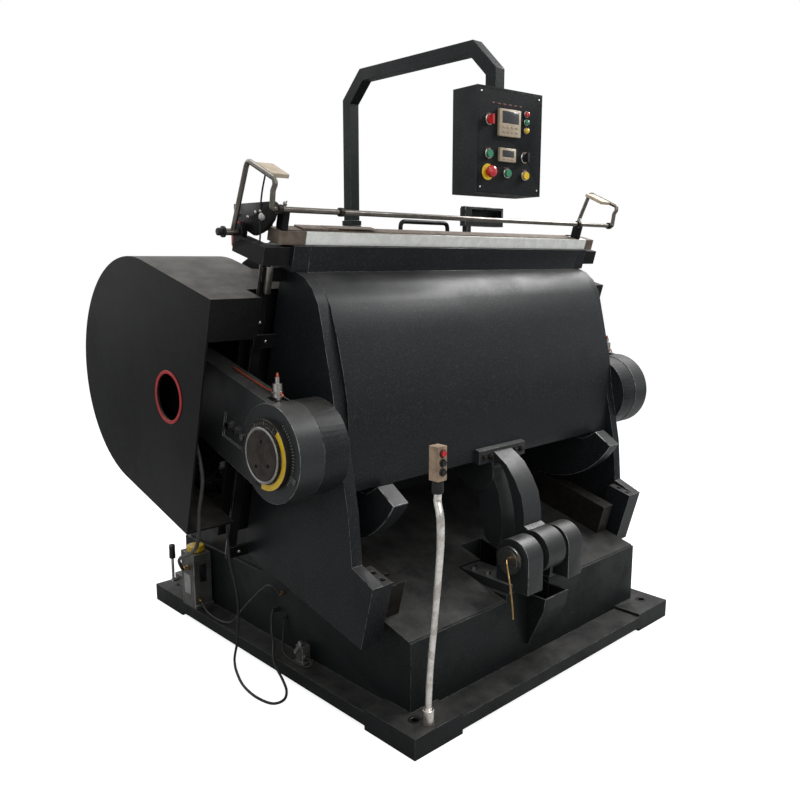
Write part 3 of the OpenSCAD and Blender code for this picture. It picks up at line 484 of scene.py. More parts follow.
OILED_STEEL = Finish(
    "oiled_steel", "worn_steel", (0.3, 0.28, 0.25), (0.12, 0.1, 0.08), rough=0.3, rough_drift=0.2,
    metallic=0.95, mottle=9.0, grain=(500.0, 40.0, 40.0), dust_and_top_light=0.2, rub_and_highlight=0.3,
    rub_and_highlight_tone=(0.55, 0.54, 0.52),
)
BROWN_STEEL = Finish(
    "browned_steel", "black_oxide", (0.05, 0.04, 0.033), (0.026, 0.02, 0.017), rough=0.4,
    rough_drift=0.2, metallic=0.4, mottle=22.0, grain=(30.0, 300.0, 300.0), rub_and_highlight=0.6,
    rub_and_highlight_tone=(0.3, 0.28, 0.25), gloss=0.2,
)
DARK_STEEL = replace(
    BROWN_STEEL, name="dark_oiled_steel", tone=(0.034, 0.03, 0.027), shade=(0.016, 0.014, 0.012),
    rough=0.34, metallic=0.55, mottle=16.0, rub_and_highlight_tone=(0.3, 0.29, 0.27), grain=(300.0, 300.0, 30.0),
    gloss=0.15,
)
TURNED_STEEL = Finish(
    "turned_steel", "worn_steel", (0.42, 0.42, 0.41), (0.24, 0.23, 0.22), rough=0.26,
    rough_drift=0.14, metallic=1.0, mottle=18.0, grain=(40.0, 500.0, 500.0), grain_depth=0.06,
)
CHROME = Finish(
    "plated_steel", "bright_steel", (0.56, 0.54, 0.51), (0.34, 0.31, 0.28), rough=0.2,
    rough_drift=0.16, metallic=1.0, mottle=30.0, grain=(700.0, 700.0, 30.0), grain_depth=0.04,
)
BAR_STEEL = Finish(
    "drawn_bar_steel", "bright_steel", (0.2, 0.183, 0.162), (0.11, 0.098, 0.083), rough=0.3,
    rough_drift=0.16, metallic=1.0, mottle=16.0, grain=(30.0, 420.0, 420.0), grain_depth=0.05,
)
POLE_STEEL = replace(
    CHROME, name="flexible_pole_steel", tone=(0.95, 0.92, 0.88), shade=(0.55, 0.49, 0.43),
    rough=0.19, metallic=0.97, mottle=24.0, grain=(420.0, 420.0, 30.0), grain_depth=0.05,
)
# Pale galvanised colour lifted toward white and made less metallic: partly the zinc's own colour,
# partly painted sheen in place of lost reflection.
SHEENED_ZINC = Finish(
    "galvanised_strip_painted_sheen", "galvanised", (0.96, 0.965, 0.92), (0.8, 0.805, 0.76), rough=0.38,
    rough_drift=0.2, metallic=0.3, mottle=22.0, grain=(30.0, 400.0, 400.0), grain_depth=0.08,
    rub_and_highlight=0.5, rub_and_highlight_tone=(0.2, 0.18, 0.15),
)
BOARD = Finish(
    "pressed_board", "hardboard", (0.155, 0.118, 0.088), (0.085, 0.064, 0.048), rough=0.62,
    mottle=34.0, peel=0.3, peel_scale=500.0,
)
BRASS = Finish(
    "drawn_brass", "brass_pipe", (0.46, 0.31, 0.12), (0.25, 0.16, 0.07), rough=0.28, metallic=1.0,
    mottle=50.0, grain=(200.0, 200.0, 60.0), grain_depth=0.05,
)
COPPER = Finish(
    "red_enamelled_pipe", "brass_pipe", (0.52, 0.085, 0.035), (0.3, 0.06, 0.035), rough=0.3,
    metallic=0.3, mottle=60.0,
)
RED_TRIM = Finish(
    "red_edge_trim", "red_rubber", (0.52, 0.018, 0.022), (0.32, 0.013, 0.015), rough=0.42,
    mottle=30.0, peel=0.2, peel_scale=600.0,
)
BEIGE = Finish(
    "beige_plastic", "beige_plastic", (0.46, 0.385, 0.275), (0.34, 0.275, 0.19), rough=0.42,
    mottle=24.0, peel=0.12, peel_scale=900.0, waves=0.0, rub_and_highlight=0.1, rub_and_highlight_tone=(0.3, 0.26, 0.2),
)
SOILED_BEIGE = replace(
    BEIGE, name="handled_beige_plastic", tone=(0.36, 0.26, 0.175), shade=(0.2, 0.135, 0.088),
    rough=0.46, mottle=30.0, peel=0.14, peel_scale=700.0, rub_and_highlight=0.3, rub_and_highlight_tone=(0.1, 0.07, 0.05),
)
RED = Finish(
    "red_plastic", "red_plastic", (0.56, 0.014, 0.018), (0.42, 0.012, 0.014), rough=0.24,
    mottle=40.0, peel=0.06, peel_scale=900.0, coat=0.4,
)
GREEN = replace(
    RED, name="green_plastic", slot="green_plastic", tone=(0.018, 0.24, 0.115),
    shade=(0.014, 0.17, 0.08),
)
YELLOW = Finish(
    "yellow_plastic", "yellow_plastic", (0.8, 0.52, 0.01), (0.66, 0.4, 0.008), rough=0.3,
    mottle=40.0, peel=0.08, peel_scale=900.0, coat=0.3,
)
BLACK_PLASTIC = Finish(
    "black_plastic", "black_plastic", (0.009, 0.009, 0.0095), (0.015, 0.015, 0.015), rough=0.36,
    mottle=40.0, peel=0.15, peel_scale=900.0, waves=0.0, gloss=0.35,
)
RUBBER = Finish(
    "black_rubber", "black_rubber", (0.01, 0.01, 0.01), (0.017, 0.016, 0.015), rough=0.62,
    mottle=30.0, peel=0.25, peel_scale=900.0, dust_and_top_light=0.3, dust_and_top_light_tone=(0.05, 0.045, 0.04), gloss=0.3,
)
CABLE = replace(
    RUBBER, name="black_cable", slot="black_cable", shade=(0.018, 0.016, 0.014), rough=0.5,
    mottle=40.0, peel=0.15, dust_and_top_light=0.4, dust_and_top_light_tone=(0.08, 0.07, 0.055), gloss=0.35,
)
HOSE = Finish(
    "grey_hose", "grey_hose", (0.04, 0.04, 0.037), (0.024, 0.024, 0.022), rough=0.5, mottle=40.0,
    peel=0.2, peel_scale=700.0, dust_and_top_light=0.4, gloss=0.35,
)
CAST_GREY = Finish(
    "grey_casting", "cast_grey", (0.105, 0.105, 0.095), (0.055, 0.053, 0.046), rough=0.42,
    metallic=0.35, mottle=14.0, peel=0.35, peel_scale=400.0, dust_and_top_light=0.3, rub_and_highlight=0.7,
    rub_and_highlight_tone=(0.4, 0.4, 0.38),
)
WINDOW = Finish(
    "dark_window", "black_plastic", (0.01, 0.011, 0.013), (0.018, 0.02, 0.022), rough=0.08,
    mottle=20.0, peel=0.01, waves=0.0, coat=0.6,
)
LABEL = Finish(
    "bare_label", "beige_plastic", (0.34, 0.34, 0.33), (0.25, 0.25, 0.24), rough=0.4, mottle=40.0,
    peel=0.04,
)
FAINT_PRINT = Finish(
    "faded_red_print", "red_plastic", (0.085, 0.017, 0.016), (0.04, 0.013, 0.013), rough=0.5,
    mottle=160.0, peel=0.04, gloss=0.3,
)
PAPER = Finish("studio_paper", "", (0.5, 0.5, 0.5), (0.48, 0.48, 0.48), rough=0.9, mottle=0.5)


# ---------------------------------------------------------------- modelling bench


class Bench:
    """Modelling steps shared by the sub-assemblies, made with Blender's own operators."""

    ROUNDED_FROM = 30.0
    ROUNDED_SHADE = 38.0
    BAR_SHADE = 40.0
    RING_WELD = 0.00002

    @staticmethod
    def clear() -> None:
        """Goes back to object mode with nothing selected."""
        if bpy.context.object and bpy.context.object.mode != "OBJECT":
            bpy.ops.object.mode_set(mode="OBJECT")
        bpy.ops.object.select_all(action="DESELECT")

    @classmethod
    def pick(cls, *pieces: Piece) -> None:
        """Selects these pieces alone.

        Args:
            *pieces: The pieces, the one to be active first.
        """
        cls.clear()
        for piece in pieces:
            piece.select_set(True)
        bpy.context.view_layer.objects.active = pieces[0]

    @classmethod
    def settle(cls, piece: Piece) -> Piece:
        """Moves the piece's place into its mesh, so that its object sits at the origin.

        Args:
            piece: The piece.

        Returns:
            The same piece.
        """
        cls.pick(piece)
        bpy.ops.object.transform_apply(location=True, rotation=True, scale=True)
        return piece

    @classmethod
    def stand(cls, piece: Piece, where: Matrix) -> Piece:
        """Stands a piece made at the origin in its place."""
        piece.matrix_world = where
        return cls.settle(piece)

    @classmethod
    def open(cls, piece: Piece, mode: str = "VERT") -> None:
        """Opens a piece in edit mode with everything selected.

        Args:
            piece: The piece.
            mode: What is selected: "VERT", "EDGE" or "FACE".
        """
        cls.pick(piece)
        bpy.ops.object.mode_set(mode="EDIT")
        cls.take(mode)

    @staticmethod
    def take(mode: str) -> None:
        """Selects everything of one kind in edit mode."""
        bpy.ops.mesh.select_mode(type=mode)
        bpy.ops.mesh.select_all(action="SELECT")

    @classmethod
    def close(cls, piece: Piece, smooth: float = 30.0) -> Piece:
        """Leaves edit mode and shades the piece smooth.

        Args:
            piece: The piece.
            smooth: The angle in degrees up to which it is shaded smooth.

        Returns:
            The same piece.
        """
        bpy.ops.object.mode_set(mode="OBJECT")
        cls.pick(piece)
        bpy.ops.object.shade_smooth_by_angle(angle=math.radians(smooth))
        return piece

    @classmethod
    def block(
        cls, low: Point, high: Point, edge: float = 1.0, steps: int = 2, lean: bool = False
    ) -> Piece:
        """A block with rounded edges.

        Args:
            low: Its lowest corner in millimetres.
            high: Its highest corner in millimetres.
            edge: The rounding of its edges in millimetres.
            steps: The steps of that rounding.
            lean: Whether the corners are given in the press's leaning frame.

        Returns:
            The new piece, at the origin.
        """
        cls.clear()
        middle = [(a + b) / 2 * MM for a, b in zip(low, high)]
        size = [abs(b - a) * MM for a, b in zip(low, high)]
        bpy.ops.mesh.primitive_cube_add(size=1, location=middle, scale=size)
        piece = cls.settle(bpy.context.object)
        cls.open(piece, "EDGE")
        bpy.ops.mesh.bevel(offset=edge * MM, segments=steps, affect="EDGES")
        cls.close(piece)
        return cls.stand(piece, Matrix.Rotation(LEAN, 4, "X")) if lean else piece

    @classmethod
    def blocks(
        cls, *corners: tuple[Point, Point, float], steps: int = 2, lean: bool = False
    ) -> list[Piece]:
        """Several blocks, each given by its two corners and its rounding."""
        return [cls.block(low, high, edge, steps, lean) for low, high, edge in corners]

    @classmethod
    def plate(cls, outline: Sequence[Pair], x0: float, x1: float, edge: float = 0.8) -> Piece:
        """A plate standing square to X, cut to an outline.

        Args:
            outline: The (y, z) corners in millimetres.
            x0: Where its first face stands, in millimetres.
            x1: Where its second face stands, in millimetres.
            edge: The rounding of its edges in millimetres.

        Returns:
            The new piece, at the origin.
        """
        cls.clear()
        bpy.ops.mesh.primitive_circle_add(vertices=len(outline), radius=1.0, fill_type="NGON")
        piece = bpy.context.object
        for corner, (y, z) in zip(piece.data.vertices, outline):
            corner.co = place(x0, y, z)
        cls.open(piece, "FACE")
        thick = {"value": ((x1 - x0) * MM, 0, 0)}
        bpy.ops.mesh.extrude_region_move(TRANSFORM_OT_translate=thick)
        bpy.ops.mesh.select_all(action="SELECT")
        bpy.ops.mesh.normals_make_consistent(inside=False)
        cls.take("EDGE")
        bpy.ops.mesh.bevel(offset=edge * MM, segments=2, affect="EDGES")
        return cls.close(piece)

    @classmethod
    def turned(
        cls, profile: Sequence[Pair], at: Vector = ORIGIN, axis: Vector = UP, sides: int = 32,
        smooth: float = 30.0, hollow: bool = False,
    ) -> Piece:
        """A turned piece, extruded and resized ring by ring.

        Args:
            profile: Radius and height of each ring in millimetres, from the foot up.
            at: The foot's centre in metres.
            axis: The direction of the height.
            sides: The sides of each ring.
            smooth: The angle in degrees up to which it is shaded smooth.
            hollow: Whether the profile is a closed section that comes back to its first corner.

        Returns:
            The new piece, at the origin.
        """
        cls.clear()
        radius, height = profile[0]
        bpy.ops.mesh.primitive_circle_add(
            vertices=sides, radius=radius * MM, fill_type="NOTHING" if hollow else "NGON",
            location=(0, 0, height * MM),
        )
        piece = cls.settle(bpy.context.object)
        cls.open(piece, "VERT" if hollow else "FACE")
        for wide, high in (*profile[1:], profile[0]) if hollow else profile[1:]:
            rise = {"value": (0, 0, (high - height) * MM)}
            bpy.ops.mesh.extrude_region_move(TRANSFORM_OT_translate=rise)
            factor = wide / radius
            bpy.ops.transform.resize(
                value=(factor, factor, 1), center_override=(0, 0, high * MM)
            )
            radius, height = wide, high
        bpy.ops.mesh.select_all(action="SELECT")
        if hollow:
            bpy.ops.mesh.remove_doubles(threshold=cls.RING_WELD)
        bpy.ops.mesh.normals_make_consistent(inside=False)
        cls.close(piece, smooth)
        return cls.stand(piece, spot(at, axis))

    @classmethod
    def ring(
        cls, profile: Sequence[Pair], at: Vector = ORIGIN, axis: Vector = UP, sides: int = 48
    ) -> Piece:
        """A hollow ring with the given section, as turned() makes it."""
        return cls.turned(profile, at, axis, sides, hollow=True)

    @classmethod
    def sector(cls, piece: Piece, centre: Vector, keep: Callable[[Vector], bool]) -> Piece:
        """Cuts a ring down to the faces that keep() accepts and closes its ends.

        Args:
            piece: The ring.
            centre: The ring's centre in metres.
            keep: Says whether a face stays, from its middle's place relative to the centre.

        Returns:
            The same piece.
        """
        cls.open(piece, "FACE")
        bpy.ops.mesh.select_all(action="DESELECT")
        bpy.ops.object.mode_set(mode="OBJECT")
        for face in piece.data.polygons:
            face.select = not keep(face.center - centre)
        bpy.ops.object.mode_set(mode="EDIT")
        bpy.ops.mesh.delete(type="FACE")
        bpy.ops.mesh.select_mode(type="EDGE")
        bpy.ops.mesh.select_non_manifold()
        bpy.ops.mesh.fill_holes(sides=0)
        bpy.ops.mesh.select_all(action="SELECT")
        bpy.ops.mesh.normals_make_consistent(inside=False)
        return cls.close(piece)

    @classmethod
    def rounded(cls, piece: Piece, edge: float, steps: int) -> Piece:
        """Rounds a piece's sharper edges and marks the rounded faces as edge, for wear and painted
        highlights.

        Args:
            piece: The piece.
            edge: The rounding's width in millimetres.
            steps: The steps of the rounding.

        Returns:
            The same piece.
        """
        cls.pick(piece)
        mesh = piece.data
        while len(mesh.materials) < 2:
            mesh.materials.append(None)
        mesh.polygons.foreach_set("material_index", [0] * len(mesh.polygons))
        modifier = piece.modifiers.new("rounding", "BEVEL")
        modifier.width = edge * MM
        modifier.segments = steps
        modifier.limit_method = "ANGLE"
        modifier.angle_limit = math.radians(cls.ROUNDED_FROM)
        modifier.use_clamp_overlap = True
        modifier.material = 1
        bpy.ops.object.modifier_apply(modifier=modifier.name)
        mesh = piece.data
        # The edge mark carries both rubbed paint and painted edge highlights.
        rubbed_and_highlighted_edge = mesh.attributes.new("edge", "FLOAT", "CORNER")
        values = [0.0] * len(mesh.loops)
        for face in mesh.polygons:
            if face.material_index == 1:
                for corner in face.loop_indices:
                    values[corner] = 1.0
        rubbed_and_highlighted_edge.data.foreach_set("value", values)
        mesh.polygons.foreach_set("material_index", [0] * len(mesh.polygons))
        mesh.materials.clear()
        bpy.ops.object.shade_smooth_by_angle(angle=math.radians(cls.ROUNDED_SHADE))
        return piece

    @classmethod
    def copied(cls, source: Piece, spots: Iterable[Matrix]) -> Piece:
        """Copies a piece, each copy with its own mesh, and joins the copies.

        Args:
            source: The piece modelled once, which is used up.
            spots: Where each copy goes.

        Returns:
            The joined piece, at the origin.
        """
        made = []
        for where in spots:
            copy = source.copy()
            copy.data = source.data.copy()
            copy.matrix_world = where
            bpy.context.scene.collection.objects.link(copy)
            made.append(copy)
        bpy.data.objects.remove(source)
        for copy in made:
            cls.settle(copy)
        return cls.joined(made)

    @classmethod
    def joined(cls, pieces: Sequence[Piece]) -> Piece:
        """Joins pieces into the first one.

        Args:
            pieces: The pieces.

        Returns:
            The first piece, which now holds them all.
        """
        cls.pick(*pieces)
        if len(pieces) > 1:
            bpy.ops.object.join()
        return bpy.context.view_layer.objects.active

    @classmethod
    def line(cls, name: str, points: Sequence[Point], radius: float, rings: int = 4) -> Piece:
        """A smooth round line through points, with closed ends.

        Args:
            name: The piece's name.
            points: Its points in millimetres.
            radius: Its radius in millimetres.
            rings: The fineness of its section.

        Returns:
            A curve of one open spline.
        """
        curve = bpy.data.curves.new(name, "CURVE")
        curve.dimensions = "3D"
        curve.bevel_depth = radius * MM
        curve.bevel_resolution = rings
        curve.resolution_u = 5
        curve.use_fill_caps = True
        spline = curve.splines.new("BEZIER")
        spots = [Vector(point) * MM for point in points]
        spline.bezier_points.add(len(spots) - 1)
        for i, here in enumerate(spots):
            lead = (spots[min(i + 1, len(spots) - 1)] - spots[max(i - 1, 0)]) / 6
            knot = spline.bezier_points[i]
            knot.handle_left_type = knot.handle_right_type = "FREE"
            knot.co, knot.handle_left, knot.handle_right = here, here - lead, here + lead
        piece = bpy.data.objects.new(name, curve)
        bpy.context.scene.collection.objects.link(piece)
        return piece

    @classmethod
    def bar(cls, name: str, points: Sequence[Point], radius: float, rings: int = 4) -> Piece:
        """A rigid bent rod through points: a smooth line made a mesh.

        Args:
            name: The piece's name.
            points: Its points in millimetres.
            radius: Its radius in millimetres.
            rings: The fineness of its section.

        Returns:
            The new piece, at the origin.
        """
        cls.pick(cls.line(name, points, radius, rings))
        bpy.ops.object.convert(target="MESH")
        piece = bpy.context.object
        bpy.ops.object.shade_smooth_by_angle(angle=math.radians(cls.BAR_SHADE))
        return piece


ROD_STEP = 60.0
BEND_SHARE = 0.45


def eased(corners: Sequence[Point], radius: float, steps: int = 3) -> list[Vector]:
    """Corner points of a bent rod, with each bend eased.

    Args:
        corners: The rod's corners in millimetres.
        radius: How far from a corner its bend begins, in millimetres.
        steps: The points in each bend.

    Returns:
        The points of the rod in millimetres, at most about ROD_STEP apart.
    """
    points = [Vector(corners[0])]
    for before, corner, after in zip(corners, corners[1:], corners[2:]):
        here = Vector(corner)
        back, on = Vector(before) - here, Vector(after) - here
        reach = min(radius, back.length * BEND_SHARE, on.length * BEND_SHARE)
        start, end = here + back.normalized() * reach, here + on.normalized() * reach
        for k in range(steps + 1):
            t = k / steps
            points.append(start * (1 - t) ** 2 + here * (2 * t * (1 - t)) + end * t**2)
    points.append(Vector(corners[-1]))
    spaced = [points[0]]
    for here, on in zip(points, points[1:]):
        parts = max(1, round((on - here).length / ROD_STEP))
        spaced += [here.lerp(on, k / parts) for k in range(1, parts + 1)]
    return spaced


def smoothed(points: Sequence[Point], between: int) -> list[Vector]:
    """Points on the smooth curve through the given ones.

    Args:
        points: The chosen points.
        between: How many steps each stretch is cut into.

    Returns:
        The points, the chosen ones among them.
    """
    chosen = [Vector(point) for point in points]
    last = len(chosen) - 1
    out: list[Vector] = []
    for i in range(last):
        a, b, c, d = chosen[max(0, i - 1)], chosen[i], chosen[i + 1], chosen[min(last, i + 2)]
        square, cube = 2 * a - 5 * b + 4 * c - d, 3 * b - a - 3 * c + d
        for t in (k / between for k in range(between)):
            out.append(0.5 * (2 * b + (c - a) * t + square * t * t + cube * t**3))
    return [*out, chosen[-1]]


class Press:
    """The loaded model, and how pieces are dressed, named and hung on its bodies."""

    CAST_WELD = 0.00004
    CAST_FLAT = 0.6

    def __init__(self, frame: dict) -> None:
        """Keeps the loaded frame.
        """
        self.nodes = frame["nodes"]
        bodies = frame["record"]["behaviour"]["bodies"]
        self.bodies = {node: body for body, members in bodies.items() for node in members}
        self.count = 0

    def fit(self, piece: Piece, name: str, finish: Finish, body: str, *replaced: str) -> Piece:
        """Names a piece, gives it its finish and hangs it on a body.

        Args:
            piece: The piece.
            name: Its name.
            finish: Its finish.
            body: The body that it moves with.
            *replaced: The model's nodes that it stands for.

        Returns:
            The same piece.
        """
        piece.name = name
        piece.data.name = name
        piece.data.materials.clear()
        piece.data.materials.append(finish.material())
        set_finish(piece, finish.slot)
        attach(piece, body)
        if replaced:
            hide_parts(*replaced)
        self.count += 1
        LOG.info("%s rides on %s, finished in %s", name, body, finish.name)
        return piece

    def group(
        self, name: str, finish: Finish, body: str, pieces: Sequence[Piece], *replaced: str
    ) -> None:
        """Joins pieces and fits them as one."""
        self.fit(Bench.joined(pieces), name, finish, body, *replaced)

    def repeat(
        self, name: str, finish: Finish, body: str, source: Piece, spots: Iterable[Matrix]
    ) -> None:
        """Copies a piece to each spot and fits the copies as one."""
        self.fit(Bench.copied(source, spots), name, finish, body)

    def dress(self, finish: Finish, *names: str) -> None:
        """Gives nodes of the model that keep their shape a finish.

        Args:
            finish: The finish.
            *names: The nodes.
        """
        for name in names:
            node = self.nodes[name]
            node.data.materials.clear()
            node.data.materials.append(finish.material())
            node["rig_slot"] = finish.slot
            LOG.info("%s keeps its shape, finished in %s", name, finish.name)

    def casting(self, name: str, finish: Finish, edge: float, steps: int = 2) -> None:
        """A node's own shape with merged faces and rounded edges, in its place.

        Args:
            name: The node.
            finish: The finish.
            edge: The rounding of its edges in millimetres.
            steps: The steps of the rounding.
        """
        body_name = name + "_body"
        piece = bpy.data.objects.new(body_name, self.nodes[name].data.copy())
        bpy.context.scene.collection.objects.link(piece)
        Bench.open(piece)
        bpy.ops.mesh.remove_doubles(threshold=self.CAST_WELD)
        bpy.ops.mesh.dissolve_limited(angle_limit=math.radians(self.CAST_FLAT))
        Bench.close(piece)
        Bench.rounded(piece, edge, steps)
        self.fit(piece, body_name, finish, self.bodies[name], name)


@dataclass
class Assembly:
    """A sub-assembly, which builds its own pieces onto the press."""

    press: Press

    def build(self) -> None:
        """Makes every piece."""
        raise NotImplementedError


def hex_screw(radius: float, height: float) -> Piece:
    """A hexagon-headed screw on its washer.

    Args:
        radius: The head's radius in millimetres.
        height: The head's height in millimetres.

    Returns:
        The screw, standing along +Z at the origin.
    """
    washer = [(radius * 1.22, 0), (radius * 1.28, 0.5), (radius * 1.22, 1.6)]
    head = [(radius, 1.5), (radius, height * 0.82), (radius * 0.86, height)]
    flat = Bench.turned(washer, sides=24)
    return Bench.joined([Bench.turned(head, sides=6, smooth=20), flat])


def socket_screw(radius: float, height: float) -> Piece:
    """A socket-headed screw, standing along +Z at the origin."""
    shape = ((1, 0), (1, 0.86), (0.9, 1), (0.52, 1), (0.5, 0.45))
    return Bench.turned([(radius * r, height * h) for r, h in shape], sides=24)


def domed_screw(radius: float, height: float) -> Piece:
    """A small round-headed screw, standing along +Z at the origin."""
    shape = ((1, 0), (0.94, 0.5), (0.7, 0.88), (0.3, 1), (0.24, 0.7))
    return Bench.turned([(radius * r, height * h) for r, h in shape], sides=16, smooth=50)


def wing_bolt() -> Piece:
    """A wing-headed clamp bolt.

    Returns:
        The bolt, standing along +Z at the origin.
    """
    stem = Bench.turned([(8, 0), (8, 3), (5, 4), (5, 9), (7, 10), (7, 17), (5.5, 18.5)], sides=20)
    wings = [Bench.block((side * 5, -1.6, 9), (side * 17, 1.6, 24), 1.4) for side in SIDES]
    return Bench.joined([stem, *wings])


# ---------------------------------------------------------------- studio


@dataclass
class Studio:
    """The camera, the lamps, the floor and the white surround, in metres."""

    camera_at: Triple = (-2.4816, -2.5936, 1.6)
    forward: Triple = (0.6766, 0.7166, -0.1695)
    right: Triple = (0.7271, -0.6865, 0.0)
    lens: float = 36.64
    sensor: float = 36.0
    sight: float = 60.0
    white: tuple[float, ...] = (1.0, 1.0, 1.0, 1.0)
    grey_light: tuple[float, ...] = (0.35, 0.36, 0.37, 1)
    mirrored_share: float = 0.45
    floor_glow: float = 0.86
    floor_z: float = -0.0005
    lamps: tuple[tuple[str, Triple, Triple, Pair, float], ...] = (
        ("ceiling_softbox", (2.6, -1.05, 3.7), (0.3, -0.42, 1.45), (2.8, 1.0), 152.0),
        ("top_softbox", (-0.8, 0.5, 4.2), (-0.2, 0.0, 1.4), (2.4, 2.0), 42.0),
        ("key_softbox", (-2.2, -2.4, 4.2), (0.0, -0.2, 1.3), (2.6, 2.6), 30.0),
        ("back_softbox", (-1.5, 3.4, 3.4), (0.0, 0.0, 1.2), (2.6, 2.6), 40.0),
        ("low_fill", (-3.4, -0.6, 1.2), (-0.6, 0.0, 0.9), (2.0, 2.0), 4.0),
        ("front_fill", (-1.0, -3.9, 2.3), (0.3, -0.6, 0.8), (2.2, 1.4), 26.0),
    )

    def build(self) -> None:
        """Makes the whole studio."""
        self._camera()
        self._surround()
        self._floor()
        for name, at, aim, size, power in self.lamps:
            self._lamp(name, Vector(at), Vector(aim), size, power)
        bpy.context.scene.view_settings.view_transform = "Standard"

    def _camera(self) -> None:
        """Stands the camera at the operator's left, looking down the press."""
        lens = bpy.data.cameras.new("studio_camera")
        lens.lens, lens.sensor_width, lens.clip_end = self.lens, self.sensor, self.sight
        camera = bpy.data.objects.new("studio_camera", lens)
        forward, right = Vector(self.forward).normalized(), Vector(self.right).normalized()
        turn = Matrix((right, right.cross(forward), -forward)).transposed().to_4x4()
        camera.matrix_world = Matrix.Translation(Vector(self.camera_at)) @ turn
        bpy.context.scene.collection.objects.link(camera)
        bpy.context.scene.camera = camera

    def _surround(self) -> None:
        """White to the eye and through glass, paler in reflections, and grey as light."""
        world = bpy.data.worlds.new("studio_surround")
        world.use_nodes = True
        bpy.context.scene.world = world
        wires = Wiring(world.node_tree)
        rays = wires.add("LightPath").outputs
        mirrored = wires.times(rays["Is Glossy Ray"], self.mirrored_share)
        seen = wires.maths("MAXIMUM", rays["Is Camera Ray"], mirrored)
        seen = wires.maths("MAXIMUM", seen, rays["Is Transmission Ray"])
        sky = world.node_tree.nodes["Background"]
        wires.feed(sky.inputs["Color"], wires.blend(seen, self.grey_light, self.white))

    def _floor(self) -> None:
        """A wide pale floor that keeps the press's shadow."""
        Bench.clear()
        bpy.ops.mesh.primitive_plane_add(size=30, location=(0, 0, self.floor_z))
        floor = Bench.settle(bpy.context.object)
        floor.name = "studio_floor"
        material = PAPER.material()
        wires = Wiring(material.node_tree)
        rays = wires.add("LightPath").outputs
        seen = wires.maths("MAXIMUM", rays["Is Camera Ray"], rays["Is Transmission Ray"])
        shader = material.node_tree.nodes["Principled BSDF"]
        wires.feed(shader.inputs["Emission Color"], self.white)
        wires.feed(shader.inputs["Emission Strength"], wires.times(seen, self.floor_glow))
        floor.data.materials.append(material)

    def _lamp(self, name: str, at: Vector, aim: Vector, size: Pair, power: float) -> None:
        """Hangs one oblong softbox.

        Args:
            name: The lamp's name.
            at: Where it hangs, in metres.
            aim: What it faces, in metres.
            size: Its two sides in metres.
            power: Its power in watts.
        """
        light = bpy.data.lights.new(name, "AREA")
        light.shape = "RECTANGLE"
        light.size, light.size_y = size
        light.energy = power
        lamp = bpy.data.objects.new(name, light)
        turn = (aim - at).to_track_quat("-Z", "Y").to_matrix().to_4x4()
        lamp.matrix_world = Matrix.Translation(at) @ turn
        bpy.context.scene.collection.objects.link(lamp)


# ---------------------------------------------------------------- hoses and cables


@dataclass(frozen=True)
class Lead:
    """One hose or cable: its route, thickness, stiffness and how it hangs."""

    name: str
    node: str
    radius: float
    stiffness: str
    lay: str
    body: str
    finish: Finish
    between: int
    route: tuple[Triple, ...]
    lowest: float = -1000.0

    def points(self) -> list[Vector]:
        """The route's points in millimetres, none lower than the line can lie."""
        fine = smoothed(self.route, self.between)
        return [Vector((p.x, p.y, max(p.z, self.lowest))) for p in fine]


